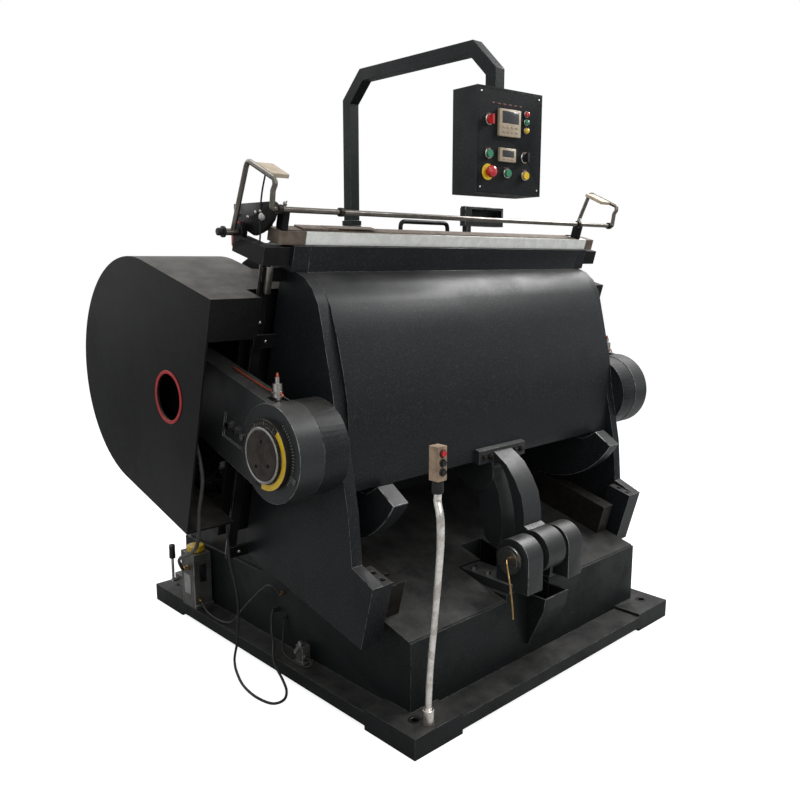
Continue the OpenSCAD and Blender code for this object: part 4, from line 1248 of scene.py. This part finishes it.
@dataclass
class Leads(Assembly):
    """Every free hose and cable, with its glands."""

    runs: tuple[Lead, ...] = (
        Lead("cover_hose", "oil_hoses", 7.0, "medium", "hanging", "frame", HOSE, 2, (
            (-1116.5, -60, 985), (-1111, -60, 985), (-1105, -60, 984), (-1094, -85, 970),
            (-1094, -122, 850), (-1096, -95, 735), (-1096, -85, 650), (-1085, -40, 575),
            (-1030, 120, 490), (-960, 310, 410), (-880, 490, 320), (-830, 556, 252),
            (-814, 560, 250), (-806, 560, 250), (-798.4, 560, 250))),
        Lead("base_hose", "oil_hoses", 4.0, "medium", "loose", "frame", HOSE, 2, (
            (-775, 515.6, 105), (-775, 510, 105), (-775, 503, 104), (-778, 475, 88),
            (-785, 420, 74), (-785, 330, 71), (-775, 250, 90), (-760, 180, 170),
            (-750, 100, 250), (-742, 30, 308), (-732, -10, 310), (-718, -22, 284),
            (-710, -22, 282), (-700.4, -22, 282))),
        Lead("switch_cable", "switch_lead", 3.5, "medium", "loose", "frame", CABLE, 3, (
            (-743, -226.2, 95), (-745, -255, 96), (-752, -270, 85), (-765, -250, 72),
            (-770, -190, 71), (-760, -110, 71), (-735, -60, 80), (-715, -40, 130),
            (-706, -40, 180), (-700.2, -40, 186))),
        Lead("floor_loop_cable", "floor_cable", 5.0, "medium", "loose", "frame", CABLE, 1, (
            (-700.5, 20, 200), (-712, 20, 200), (-730, 14, 190), (-748, -5, 135), (-765, -40, 95),
            (-800, -90, 82), (-822, -130, 60), (-828, -190, 20), (-850, -245, 5), (-895, -290, 5),
            (-940, -280, 5), (-957, -200, 5), (-945, -95, 5), (-905, 15, 5), (-872, 80, 8),
            (-870, 78, 40), (-880, 40, 120), (-898, -5, 280), (-915, -18, 380), (-936, -20, 470),
            (-938, -14, 560), (-938, -12, 622), (-938, -14.5, 631.5), (-938, -17, 641)), 5.0),
        Lead("sensor_cable", "sensor_lead", 3.0, "limp", "hanging", "guard_bar", CABLE, 4, (
            (-935, -328.4, 1885.4), (-935, -318, 1862), (-934, -300, 1820), (-932, -286, 1770),
            (-931, -277, 1680), (-931, -272, 1658.2))),
    )
    glands: tuple[tuple[str, Triple, Vector, float, float, float, Finish], ...] = (
        ("cover_hose_gland", (-1116.8, -60, 985), ACROSS, 12.0, 7.3, 22.0, CAST_GREY),
        ("pump_hose_gland", (-798.2, 560, 250), -ACROSS, 12.0, 7.3, 26.0, BRASS),
        ("base_hose_gland", (-775, 515.9, 105), -BACK, 8.5, 4.3, 18.0, BRASS),
        ("plinth_hose_gland", (-700.1, -22, 282), -ACROSS, 8.5, 4.3, 18.0, BRASS),
        ("switch_gland", (-743, -226.1, 95), -BACK, 7.8, 3.8, 20.0, BLACK_PLASTIC),
        ("plinth_lead_gland", (-700.1, -40, 186), -ACROSS, 8.0, 3.8, 16.0, BLACK_PLASTIC),
        ("floor_cable_gland", (-700.1, 20, 200), -ACROSS, 10.0, 5.3, 24.0, BLACK_PLASTIC),
    )

    def build(self) -> None:
        for run in self.runs:
            points = run.points()
            piece = Bench.line(run.name, points, run.radius)
            self.press.fit(piece, run.name, run.finish, run.body, run.node)
        for name, at, axis, wide, thin, tall, finish in self.glands:
            foot = place(*at)
            nut = [(wide, 0), (wide, tall * 0.3), (wide * 0.92, tall * 0.36)]
            sleeve = [
                (wide * 0.8, 0), (wide * 0.8, tall * 0.5), (thin * 1.25, tall * 0.85),
                (thin * 1.08, tall),
            ]
            pieces = [Bench.turned(nut, foot, axis, 6, 20), Bench.turned(sleeve, foot, axis, 24)]
            self.press.group(name, finish, "frame", pieces)


# ---------------------------------------------------------------- base, bed and covers


@dataclass
class Base(Assembly):
    """The base casting with its rails, tray and the bridle's bearings."""

    rail_x: float = 657.0
    rail_top: float = 634.4
    rail_screws: tuple[float, ...] = (-440.0, -280.0, -120.0, 20.0)
    anchor_x: float = 720.0
    anchor_y: float = 800.0
    flange_top: float = 77.0

    def build(self) -> None:
        """Finishes the castings and adds their screws and anchor rims."""
        self.press.casting("base_frame", BASE_PAINT, 7.0, 3)
        self.press.casting("rocker_rails", DARK_STEEL, 2.0)
        self.press.casting("drip_pocket", BASE_PAINT, 1.5)
        self.press.casting("pillow_blocks", LIT_LINKAGE_PAINT, 4.0)
        self.press.dress(TURNED_STEEL, "bridle_studs")
        self.press.dress(BRASS, "bridle_oil_pipe")
        self.press.repeat("rail_screws", DARK_STEEL, "frame", socket_screw(9.0, 11.0), [
            spot(leaned(side * self.rail_x, v, self.rail_top), LEAN_W)
            for side in SIDES for v in self.rail_screws
        ])
        rim = Bench.ring([(14.2, 0), (24, 0), (24, 0.8), (22.5, 1.4), (15.5, 1.4), (14.2, 0.6)])
        self.press.repeat("anchor_rims", DARK_STEEL, "frame", rim, [
            spot(place(sx * self.anchor_x, sy * self.anchor_y, self.flange_top), UP)
            for sx in SIDES for sy in SIDES
        ])


@dataclass
class Bed(Assembly):
    """The bed casting, the die chase, the gear covers and the bed's lifting hoop."""

    hoop: tuple[Triple, ...] = (
        (-196, -176, 1699), (-196, -176, 1752), (76, -176, 1752), (76, -176, 1699))
    hoop_bend: float = 34.0
    hoop_r: float = 9.0

    def build(self) -> None:
        """Finishes the bed and its covers and adds the rear tray and the hoop."""
        self.press.casting("bed_frame", CHARCOAL, 5.0)
        self.press.casting("die_chase", OILED_STEEL, 1.0)
        self.press.dress(TURNED_STEEL, "gear_stubs")
        self.press.casting("gear_cover_left", COVER_PAINT, 3.0)
        self.press.casting("gear_cover_right", COVER_PAINT, 3.0)
        self.press.casting("view_rings", RED_TRIM, 1.2)
        self.press.casting("rear_bracket", CHARCOAL, 2.5)
        self.press.group("bracket_back_tray", BLACK, "frame", Bench.blocks(
            ((306, -39.4, 1752), (560, -36.4, 1832), 1.0),
            ((306, -44.9, 1752), (340, -39.5, 1832), 1.0),
            ((556, -44.9, 1752), (560, -39.5, 1832), 1.0),
        ))
        hoop = Bench.bar("lifting_hoop", eased(self.hoop, self.hoop_bend), self.hoop_r)
        self.press.fit(hoop, "lifting_hoop", BLACK, "frame")
        self.press.casting("mast", PANEL_PAINT, 3.0)


# ---------------------------------------------------------------- platen


@dataclass
class Platen(Assembly):
    """The rocking platen with its cheeks, strip, posts and bridle."""

    toe_x: float = 757.0
    toe_v: Pair = (-515.0, -470.0)
    toe_top: float = 690.4
    flange_x: tuple[float, ...] = (-112, -78, 78, 112)
    flange_at: Pair = (-328.0, 956.0)
    flange_slope: Pair = (-52.0, 12.0)
    tie_rod: Pair = (110, 1790)
    tie_rod_x: tuple[float, ...] = (-914, -500, -100, 300, 796)
    tie_rod_r: float = 5.0
    wing_bolt_at: Pair = (117, 1796.8)
    wing_bolts: tuple[Pair, ...] = ((-884, 35), (776, 20))
    guide_rod: Triple = (900, 180, 445)
    post_face: float = 149.9
    post_screw_x: float = 868
    post_screw_w: tuple[float, ...] = (465, 925, 1325)
    clamp_screw: Triple = (896, 157.9, 1393)
    plate_face: float = -932.1
    plate_x: Pair = (-932.0, -915.0)
    knob_at: Pair = (-300.0, 1738.0)
    head_outline: tuple[Pair, ...] = (
        (-122, 1789), (-352, 1787), (-366, 1779), (-364, 1756), (-346, 1728), (-316, 1704),
        (-282, 1690), (-240, 1680), (-205, 1694), (-150, 1702), (-122, 1712))
    head_screws: tuple[Pair, ...] = (
        (-146, 1772), (-150, 1752), (-256, 1756), (-284, 1758), (-210, 1742))

    def build(self) -> None:
        """Finishes the platen and adds its screws and fittings."""
        self.press.casting("platen_shell", CHARCOAL, 6.0, 3)
        self.press.casting("platen_cheeks", CHARCOAL, 7.0, 3)
        self.press.casting("platen_rockers", CHARCOAL, 3.0)
        self.press.dress(DARK_STEEL, "trunnion_pins")
        self.press.casting("top_strip", SHEENED_ZINC, 1.5)
        self.press.casting("strip_ends", BOARD, 1.5)
        self.press.casting("cutting_plate", OILED_STEEL, 1.0)
        self.press.casting("bridle", LIT_LINKAGE_PAINT, 5.0, 3)
        self.press.casting("side_posts", BLACK, 1.0)
        self.press.casting("bar_brackets", BLACK, 2.0)
        self.press.repeat("toe_screws", DARK_STEEL, "platen", socket_screw(9.5, 13.0), [
            spot(leaned(side * self.toe_x, v, self.toe_top), LEAN_W)
            for side in SIDES for v in self.toe_v
        ])
        along, rise = self.flange_slope
        slope = (LEAN_V * along + LEAN_W * rise).normalized()
        self.press.repeat("bridle_flange_screws", DARK_STEEL, "platen", hex_screw(11.0, 11.0), [
            spot(leaned(x, *self.flange_at), slope, 20 * k) for k, x in enumerate(self.flange_x)
        ])
        self._strip_dressing()
        self._post_dressing()
        self._head_plate()

    def _strip_dressing(self) -> None:
        """The card packing on the strip, and the clamps and tie rod over it."""
        self.press.group("card_packing", BOARD, "platen", Bench.blocks(
            ((-868, 103, 1727.2), (760, 165, 1730.6), 0.8),
            ((-806, 106, 1730.8), (-650, 160, 1737.0), 1.6),
            ((-700, 108, 1737.2), (-470, 150, 1739.4), 0.8), lean=True,
        ))
        self.press.group("tie_rod_clamps", BLACK, "platen", Bench.blocks(
            ((-896, 97, 1727.2), (-872, 138, 1797), 4.0),
            ((764, 97, 1727.2), (788, 138, 1797), 4.0), steps=3, lean=True,
        ))
        route = [leaned(x, *self.tie_rod) / MM for x in self.tie_rod_x]
        rod = Bench.bar("tie_rod", route, self.tie_rod_r)
        self.press.fit(rod, "tie_rod", BAR_STEEL, "platen")
        self.press.repeat("clamp_wing_bolts", TURNED_STEEL, "platen", wing_bolt(), [
            spot(leaned(x, *self.wing_bolt_at), LEAN_W, turn) for x, turn in self.wing_bolts
        ])

    def _post_dressing(self) -> None:
        """The bright guide rods, clamp bars and screws of the side posts."""
        x, v, w = self.guide_rod
        rod = [(8.8, 0), (8.8, 1160), (7.6, 1162)]
        self.press.group("post_guide_rods", OILED_STEEL, "platen", [
            Bench.turned(rod, leaned(side * x, v, w), LEAN_W, 20) for side in SIDES
        ])
        self.press.group("post_clamp_bars", OILED_STEEL, "platen", Bench.blocks(
            ((-906, 136, 1500), (-882, 149.8, 1596), 2.0),
            ((882, 136, 1500), (906, 149.8, 1596), 2.0), lean=True,
        ))
        spots = [
            (side * self.post_screw_x, self.post_face, height)
            for side in SIDES for height in self.post_screw_w
        ]
        x, v, w = self.clamp_screw
        spots += [(side * x, v, w) for side in SIDES]
        self.press.repeat("post_screws", CHROME, "platen", domed_screw(7.0, 4.5), [
            spot(leaned(*at), -LEAN_V) for at in spots
        ])

    def _head_plate(self) -> None:
        """The black plate at the head of the left post, with its terminal block and screws."""
        plate = Bench.plate(self.head_outline, *self.plate_x, 2.0)
        self.press.fit(plate, "post_head_plate", BLACK, "platen")
        self.press.group("terminal_block", BLACK_PLASTIC, "platen", Bench.blocks(
            ((-913, -262, 1698), (-868, -142, 1776), 3.0),
            ((-926, -150, 1640), (-902, -122, 1712), 2.0),
        ))
        self.press.repeat("head_plate_screws", CHROME, "platen", domed_screw(6.0, 4.0), [
            spot(place(self.plate_face, *at), -ACROSS) for at in self.head_screws
        ])
        at = place(self.plate_face, *self.knob_at)
        knob = Bench.turned([(14, 0), (14, 8), (12, 11), (5, 12)], at, -ACROSS, 28, 50)
        self.press.fit(knob, "head_plate_knob", TURNED_STEEL, "platen")
        self.press.group("red_trip_tabs", RED, "platen", Bench.blocks(
            ((-944, -134, 1648), (-926.4, -118, 1694), 2.4),
            ((-944, -166, 1716), (-932.2, -140, 1728), 2.4),
        ))


# ---------------------------------------------------------------- links, dials and drive


@dataclass
class Links(Assembly):
    """The side links, their oil cups and pipes, and the pressure dials."""

    trunnion: Pair = (-168.0, 1060.0)
    dial_out: float = 1045.6
    boss_out: float = 1025.0
    middle_x: float = 968.0
    oiler_at: Pair = (-408.6, 1140.4)
    pipe: tuple[Pair, ...] = (
        (-122, 1236), (-108, 1244), (-80, 1240), (-40, 1229), (60, 1226), (180, 1227.5))
    pipe_r: float = 3.2
    disc_out: float = 12.05
    disc_screw_out: float = 15.2
    disc_screw_r: float = 48.0
    disc_screws: tuple[float, ...] = (80, 200, 290)
    scale_from: float = 112.0
    scale_pitch: float = 4.5
    scale_ticks: int = 22
    arc_lift: float = 0.05
    arc_from: float = 118.0
    arc_to: float = 268.0
    pointer_angle: float = 192.0
    pointer: tuple[Pair, ...] = (
        (122, 0), (130, -7), (150, -11), (156, -6), (156, 6), (150, 11), (130, 7))

    def build(self) -> None:
        """Finishes the links and dials and adds scales, pipes and oil cups."""
        self.press.casting("link_arms", LIT_LINKAGE_PAINT, 6.0, 3)
        self.press.dress(CHROME, "link_oilers")
        self.press.casting("pressure_dial_left", DARK_STEEL, 1.2)
        self.press.casting("pressure_dial_right", DARK_STEEL, 1.2)
        self._left_dial()
        self._fixed_scale()
        for side, name in zip(SIDES, ("link_pipe_left", "link_pipe_right")):
            route = [leaned(side * self.middle_x, v, w) / MM for v, w in self.pipe]
            self.press.fit(Bench.bar(name, route, self.pipe_r, 3), name, COPPER, "links")
        cups = [spot(place(side * self.middle_x, *self.oiler_at), UP) for side in SIDES]
        collar = Bench.ring([(17.2, 28), (20.5, 29), (20.5, 37), (17.2, 38)], sides=6)
        self.press.repeat("oil_cup_collars", CHROME, "links", collar, cups)
        tip = Bench.turned([(4.5, 84), (4.5, 92), (3.0, 97), (1.5, 98)], sides=16)
        self.press.repeat("oil_cup_tips", COPPER, "links", tip, cups)

    def _left_dial(self) -> None:
        """The left dial's graduated scale, yellow arc, bright rim and cover disc."""
        out = -ACROSS
        centre = leaned(-self.dial_out, *self.trunnion)
        disc_at = centre + out * (self.disc_out * MM)
        tick = Bench.block((-0.5, 99.0, 0.0), (0.5, 107.0, 0.35), 0.15, 1)
        long_tick = Bench.block((-0.8, 98.0, 0.0), (0.8, 111.0, 0.35), 0.15, 1)
        self.press.group("dial_scale", LABEL, "dial_left", [
            Bench.copied(tick, [spot(centre, out, 6 * k) for k in range(60) if k % 5]),
            Bench.copied(long_tick, [spot(centre, out, 30 * k) for k in range(12)]),
        ])
        band = [(98.0, 0.0), (117.0, 0.0), (117.0, 0.9), (98.0, 0.9)]
        arc = Bench.ring(band, centre + out * (self.arc_lift * MM), out, 96)
        Bench.sector(arc, centre, self._on_arc)
        self.press.fit(arc, "dial_yellow_arc", YELLOW, "dial_left")
        section = [(84.5, 0.0), (93.4, 0.0), (93.4, 1.0), (90.6, 2.6), (87.4, 2.6), (84.5, 1.0)]
        rim = Bench.ring(section, disc_at, out, 96)
        self.press.fit(rim, "dial_bright_rim", TURNED_STEEL, "dial_left")
        profile = [(83.6, 0), (83.6, 2.2), (81.6, 3.4), (30.0, 3.4), (29.0, 2.6)]
        disc = Bench.turned(profile, disc_at, out, 72)
        self.press.fit(disc, "dial_cover_disc", BROWN_STEEL, "dial_left")
        face = centre + out * (self.disc_screw_out * MM)
        reach = self.disc_screw_r * MM
        self.press.repeat("dial_disc_screws", BLACK, "dial_left", socket_screw(6.0, 2.4), [
            spot(face + radial(angle) * reach, out) for angle in self.disc_screws
        ])

    def _on_arc(self, offset: Vector) -> bool:
        """Whether a place round the dial lies on the arc, from its angle about the pin."""
        angle = math.degrees(math.atan2(offset.dot(LEAN_W), offset.dot(LEAN_V))) % 360
        return self.arc_from < angle < self.arc_to

    def _fixed_scale(self) -> None:
        """The pale ticks and the pointer on the link's boss, beside the dial."""
        out = -ACROSS
        centre = leaned(-self.boss_out, *self.trunnion)
        ticks = []
        for k in range(self.scale_ticks):
            arm = radial(self.scale_from + self.scale_pitch * k)
            turn = Matrix((arm, out.cross(arm), out)).transposed().to_4x4()
            ticks.append(Matrix.Translation(centre) @ turn)
        tick = Bench.block((123.0, -0.9, 0.0), (133.0, 0.9, 0.5), 0.2, 1)
        self.press.repeat("boss_scale", LABEL, "links", tick, ticks)
        arm = radial(self.pointer_angle) * MM
        flank = out.cross(arm / MM) * MM
        corners = [centre + arm * r + flank * f for r, f in self.pointer]
        outline = [(corner.y / MM, corner.z / MM) for corner in corners]
        pointer = Bench.plate(outline, -self.boss_out - 4.0, -self.boss_out - 0.2, 0.8)
        self.press.fit(pointer, "dial_pointer", CAST_GREY, "links")


@dataclass
class Drive(Assembly):
    """The gears, shafts, flywheel, belt and motor behind the bed."""

    motor_at: Pair = (640.0, 470.0)
    fin_pitch: float = 13
    fin_rows: tuple[tuple[float, int], ...] = ((-20, 8), (154, 7))

    def build(self) -> None:
        """Finishes the drive and adds the motor's fins."""
        self.press.dress(DARK_STEEL, "bull_gears", "clutch_shaft")
        self.press.dress(TURNED_STEEL, "countershaft", "motor_pulley")
        self.press.dress(BASE_PAINT, "flywheel")
        self.press.dress(RUBBER, "drive_belt")
        self.press.casting("motor", CAST_GREY, 2.0)
        section = [(104.5, 0), (113.0, 0.6), (113.0, 3.0), (104.5, 3.6)]
        self.press.repeat("motor_fins", CAST_GREY, "frame", Bench.ring(section, ORIGIN, ACROSS), [
            Matrix.Translation(place(start + self.fin_pitch * k, *self.motor_at))
            for start, count in self.fin_rows for k in range(count)
        ])


# ---------------------------------------------------------------- guard bar


@dataclass
class GuardBar(Assembly):
    """The hinged guard bar with its sensor plates and clamps."""

    half: float = 971.0
    rod_r: float = 9.0
    bend: float = 7.0
    stud_x: float = 933.0
    knob_x: float = 1004.0
    pivot: Pair = (-175, 1693)
    rail: Pair = (-407, 1759)
    collar_x: tuple[float, ...] = (-952, -700, 682, 934)
    loop: tuple[Pair, ...] = (
        (-407, 1759), (-415, 1816), (-428, 1832), (-425, 1850), (-290, 1912), (-278, 1912),
        (-268, 1900), (-175, 1697))

    def build(self) -> None:
        """Bends the bar and finishes its fittings."""
        left = [(-self.half, y, z) for y, z in reversed(self.loop)]
        right = [(self.half, y, z) for y, z in self.loop]
        bar = Bench.bar("guard_bar_rod", eased([*left, *right], self.bend), self.rod_r)
        studs = self._at_pivots([(11.4, 0), (11.6, 1), (11.6, 70), (10.6, 72)], self.stud_x, 24)
        self.press.group("guard_bar_rod", BAR_STEEL, "guard_bar", [bar, *studs], "safety_bar")
        self.press.casting("bar_sensors", BEIGE, 1.5)
        knob = [(16, 0), (19, 2), (19, 9), (10, 11), (10, 16), (13, 18), (13, 26), (9, 29)]
        knobs = self._at_pivots(knob, self.knob_x, 28)
        self.press.group("bar_pivot_knobs", BLACK_PLASTIC, "guard_bar", knobs)
        section = [(9.2, 0), (15, 0.8), (15, 17), (9.2, 18)]
        self.press.group("bar_collars", DARK_STEEL, "guard_bar", [
            Bench.ring(section, place(x, *self.rail), ACROSS, 24) for x in self.collar_x
        ])

    def _at_pivots(self, profile: Sequence[Pair], x: float, sides: int) -> list[Piece]:
        """A turned piece on each of the two pivots, pointing outwards."""
        return [
            Bench.turned(profile, place(side * x, *self.pivot), ACROSS * side, sides)
            for side in SIDES
        ]


# ---------------------------------------------------------------- control arm and box


@dataclass
class ControlBox(Assembly):
    """The swinging arm and the control box with its panel."""

    middle_x: float = 20.0
    top: float = 2214.0
    face: float = -65.0
    turn: float = -5.0
    hanger: Pair = (-50.0, -530.0)
    button_at: tuple[Pair, ...] = ((-113, 234), (-17, 298), (78, 301))
    selector_at: tuple[Pair, ...] = ((-111, 115), (76, 236))
    stop_at: Pair = (-113, 298)
    screws_at: tuple[Pair, ...] = ((-151, 20), (150, 20), (-151, 352), (150, 352))
    labels: tuple[Triple, ...] = (
        (-124, 92, 26), (-100, 52, 16), (-74, 52, 20), (-46, 52, 20), (-18, 52, 22), (12, 52, 20),
        (42, 52, 16), (-126, 212, 26), (64, 214, 26), (-32, 276, 30), (64, 278, 28))
    seam: tuple[tuple[float, ...], ...] = (
        (-163, 6, 326, 1.2), (-163, 366.8, 326, 1.2), (-163, 6, 1.2, 362), (161.8, 6, 1.2, 362))
    lamp_x: float = 80
    lamps: tuple[tuple[float, Finish, str], ...] = (
        (79, RED, "lamp_red"), (108, GREEN, "lamp_green"), (138, YELLOW, "lamp_yellow"))

    @property
    def out(self) -> Vector:
        """The direction out of the panel's face."""
        return spun(self.turn).to_3x3() @ Vector((0, -1, 0))

    def on_box(self, across: float, down: float, out: float = 0.0) -> Vector:
        """A place on the panel.

        Args:
            across: How far right of its middle.
            down: How far below the box's top.
            out: How far out of its face.

        Returns:
            The place in metres.
        """
        local = Vector((across + self.middle_x, self.face - out, 0.0))
        turned = spun(self.turn).to_3x3() @ local
        x, y = self.hanger
        return place(x + turned.x, y + turned.y, self.top - down)

    def slab(self, corner: Pair, size: Pair, base: float, thick: float, edge: float) -> Piece:
        """A rounded slab on the panel.

        Args:
            corner: Its upper left corner: across from the panel's middle, down from its top.
            size: Its width and height.
            base: How far out of the panel it starts.
            thick: Its thickness.
            edge: The rounding of its edges.

        Returns:
            The slab, in its place.
        """
        wide, tall = size
        piece = Bench.block((0, -thick, -tall), (wide, 0, 0), edge)
        at = Matrix.Translation(self.on_box(*corner, base))
        return Bench.stand(piece, at @ spun(self.turn))

    def bezels(self, section: Sequence[Pair], at: Sequence[Pair], sides: int) -> list[Piece]:
        """A ring of one section round each of several places on the panel."""
        return [Bench.ring(section, self.on_box(*middle), self.out, sides) for middle in at]

    def build(self) -> None:
        """Finishes the arm and builds the panel."""
        self.press.casting("gooseneck", PANEL_PAINT, 3.0)
        self.press.casting("control_box", PANEL_PAINT, 3.0)
        self._meters()
        self._lamps()
        self._buttons()
        self._trim()

    def _meters(self) -> None:
        """The counter and the timer with their dark windows and keys."""
        self.press.group("meter_bodies", BEIGE, "control_box", [
            self.slab((-69, 72), (111, 96), 0, 14, 3.0),
            self.slab((-64, 209), (84, 49), 0, 14, 3.0),
        ], "panel_fixtures")
        self.press.group("meter_windows", WINDOW, "control_box", [
            self.slab((-56, 80), (86, 42), 13.6, 1.2, 0.5),
            self.slab((-52, 217), (60, 24), 13.6, 1.2, 0.5),
        ])
        keys = [((-54 + 22 * k, 133 + 17 * row), (13, 7)) for k in range(4) for row in (0, 1)]
        keys += [((-50 + 21 * k, 246), (12, 6)) for k in range(3)]
        self.press.group("meter_keys", SOILED_BEIGE, "control_box", [
            self.slab(corner, size, 13.6, 1.4, 0.6) for corner, size in keys
        ])

    def _lamps(self) -> None:
        """Three domed lamps in plated bezels."""
        lens = [(9.6, 0), (9.6, 10), (8.8, 13), (6.6, 15.2), (3.0, 16)]
        section = [(9.9, 0), (12.0, 0), (12.0, 5), (11.0, 6.5), (9.9, 6.5)]
        bezels = []
        for down, finish, name in self.lamps:
            at = self.on_box(self.lamp_x, down)
            self.press.fit(Bench.turned(lens, at, self.out, 28, 60), name, finish, "control_box")
            bezels.append(Bench.ring(section, at, self.out, 32))
        self.press.group("lamp_bezels", CHROME, "control_box", bezels)

    def _buttons(self) -> None:
        """Bezels round the buttons and the knobs, and the stop button's mushroom."""
        self.press.dress(GREEN, "button_green_left", "button_green_mid")
        self.press.dress(YELLOW, "button_yellow")
        flush = [(14.7, 0), (18.5, 0), (18.5, 5.5), (16.8, 8.0), (14.7, 8.0)]
        wide = [(15.7, 0), (20.0, 0), (20.0, 4.5), (18.2, 7.0), (15.7, 7.0)]
        bezels = self.bezels(flush, self.button_at, 36) + self.bezels(wide, self.selector_at, 36)
        self.press.group("button_bezels", CHROME, "control_box", bezels)
        self.press.casting("selector_upper", RED, 1.2)
        self.press.casting("selector_lower", BLACK_PLASTIC, 1.2)
        plate = [(12.2, 0), (29.0, 0), (29.0, 1.6), (27.0, 3.0), (12.2, 3.0)]
        stop_plate = self.bezels(plate, [self.stop_at], 40)
        self.press.group("stop_plate", YELLOW, "control_box", stop_plate)
        profile = [
            (11, -26), (11, 12), (17, 13), (21, 17), (21, 25), (19.5, 30), (15, 34), (8, 36),
            (3, 36.2),
        ]
        head = Bench.turned(profile, self.on_box(*self.stop_at), self.out, 40, 50)
        self.press.fit(head, "stop_mushroom", RED, "stop_button", "stop_button")

    def _trim(self) -> None:
        """The door's corner screws, its bare label plates and its seam."""
        self.press.repeat("door_screws", CHROME, "control_box", domed_screw(4.2, 2.6), [
            spot(self.on_box(*at), self.out) for at in self.screws_at
        ])
        self.press.group("bare_labels", FAINT_PRINT, "control_box", [
            self.slab((across, down), (wide, 6), -0.2, 0.8, 0.2)
            for across, down, wide in self.labels
        ])
        self.press.group("door_seam", BLACK, "control_box", [
            self.slab((across, down), (wide, tall), -0.3, 0.9, 0.2)
            for across, down, wide, tall in self.seam
        ])


# ---------------------------------------------------------------- pendant, pump and switch


@dataclass
class Pendant(Assembly):
    """The push-button box on its bent tube."""

    foot: Triple = (-702, -846, 77)
    at: Triple = (-858.0, -1031.0, 956.0)
    face: float = 18.0
    buttons_up: Triple = (106, 79, 52)
    tube_r: float = 12.0
    route: tuple[Triple, ...] = (
        (-702, -846, 77.5), (-702, -846, 140), (-709, -860, 277), (-754, -920, 469),
        (-811, -990, 655), (-851, -1037, 787), (-860, -1044, 870), (-858, -1031, 916),
        (-858, -1031, 936), (-858, -1031, 956))

    def build(self) -> None:
        """Bends the tube and finishes the box."""
        tube = Bench.bar("pendant_pole", smoothed(self.route, 4), self.tube_r, 5)
        profile = [(19.5, 0.2), (20, 1), (20, 51), (18.5, 53), (13, 53)]
        socket = Bench.turned(profile, place(*self.foot), UP, 32)
        self.press.group("pendant_pole", POLE_STEEL, "frame", [tube, socket], "pendant_tube")
        self.press.casting("pendant_box", SOILED_BEIGE, 3.0, 3)
        self.press.dress(RED, "pendant_button_red")
        self.press.dress(BLACK_PLASTIC, "pendant_button_up", "pendant_button_down")
        x, y, z = self.at
        section = [(9.6, 0), (12.5, 0), (12.5, 2.4), (11.2, 3.6), (9.6, 3.6)]
        self.press.group("pendant_collars", BLACK_PLASTIC, "frame", [
            Bench.ring(section, place(x, y - self.face, z + up), -BACK, 28)
            for up in self.buttons_up
        ])
        profile = [(15.5, -14), (17.5, -8), (17.5, 10), (16.4, 14), (17.2, 18), (17.2, 24)]
        neck = Bench.turned(profile, place(x, y, z), UP, 32)
        self.press.fit(neck, "pendant_neck", RUBBER, "frame")


@dataclass
class Oiler(Assembly):
    """The hand oil pump and the limit switch on the base's left."""

    at: Triple = (-752.0, 572.0, 65.0)
    cap_at: Triple = (-3.0, 0.0, 252.5)
    cap_ribs: int = 24
    grip_at: Triple = (-60.0, 110.0, 198.0)

    def on_pump(self, x: float, y: float, z: float) -> Vector:
        """Millimetres from the pump's foot, as a place in metres."""
        return place(self.at[0] + x, self.at[1] + y, self.at[2] + z)

    def build(self) -> None:
        """Finishes the pump, its cap and lever, and the switch."""
        x, y, z = self.at
        self.press.casting("oil_pump", CAST_GREY, 4.0, 3)
        self.press.dress(TURNED_STEEL, "pump_lever")
        self.press.casting("pump_cap", YELLOW, 2.0)
        rib = Bench.block((36.6, -1.2, 0.0), (38.4, 1.2, 22.0), 0.5, 1)
        cap = Matrix.Translation(self.on_pump(*self.cap_at))
        ribs = [cap @ spun(360 / self.cap_ribs * k) for k in range(self.cap_ribs)]
        self.press.repeat("pump_cap_ribs", YELLOW, "pump_cap", rib, ribs)
        profile = [(9, 0), (13.4, 2), (14, 12), (13.2, 40), (13.8, 58), (11.5, 65), (6, 67)]
        grip = Bench.turned(profile, self.on_pump(*self.grip_at), UP, 32, 60)
        self.press.fit(grip, "lever_grip", BLACK_PLASTIC, "pump_lever")
        window = Bench.block((x - 20, y - 57.2, z + 120), (x + 14, y - 55.9, z + 200), 0.5)
        self.press.fit(window, "pump_sight_glass", WINDOW, "frame")
        plate = Bench.block((x - 48, y - 24, z + 60), (x - 46.2, y + 30, z + 150), 0.6)
        self.press.fit(plate, "pump_plate", LABEL, "frame")
        self.press.casting("limit_switch", CAST_GREY, 2.0)
        self.press.casting("switch_lever", TURNED_STEEL, 1.0)


def main() -> None:
    """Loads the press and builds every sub-assembly in order."""
    logging.basicConfig(level=logging.INFO, format="%(message)s")
    press = Press(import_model())
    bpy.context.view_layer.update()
    Studio().build()
    parts = (Leads, Base, Bed, Platen, Links, Drive, GuardBar, ControlBox, Pendant, Oiler)
    for part in parts:
        part(press).build()
        LOG.info("%s done, %d pieces so far", part.__name__, press.count)
    Bench.clear()


if __name__ == "__main__":
    main()
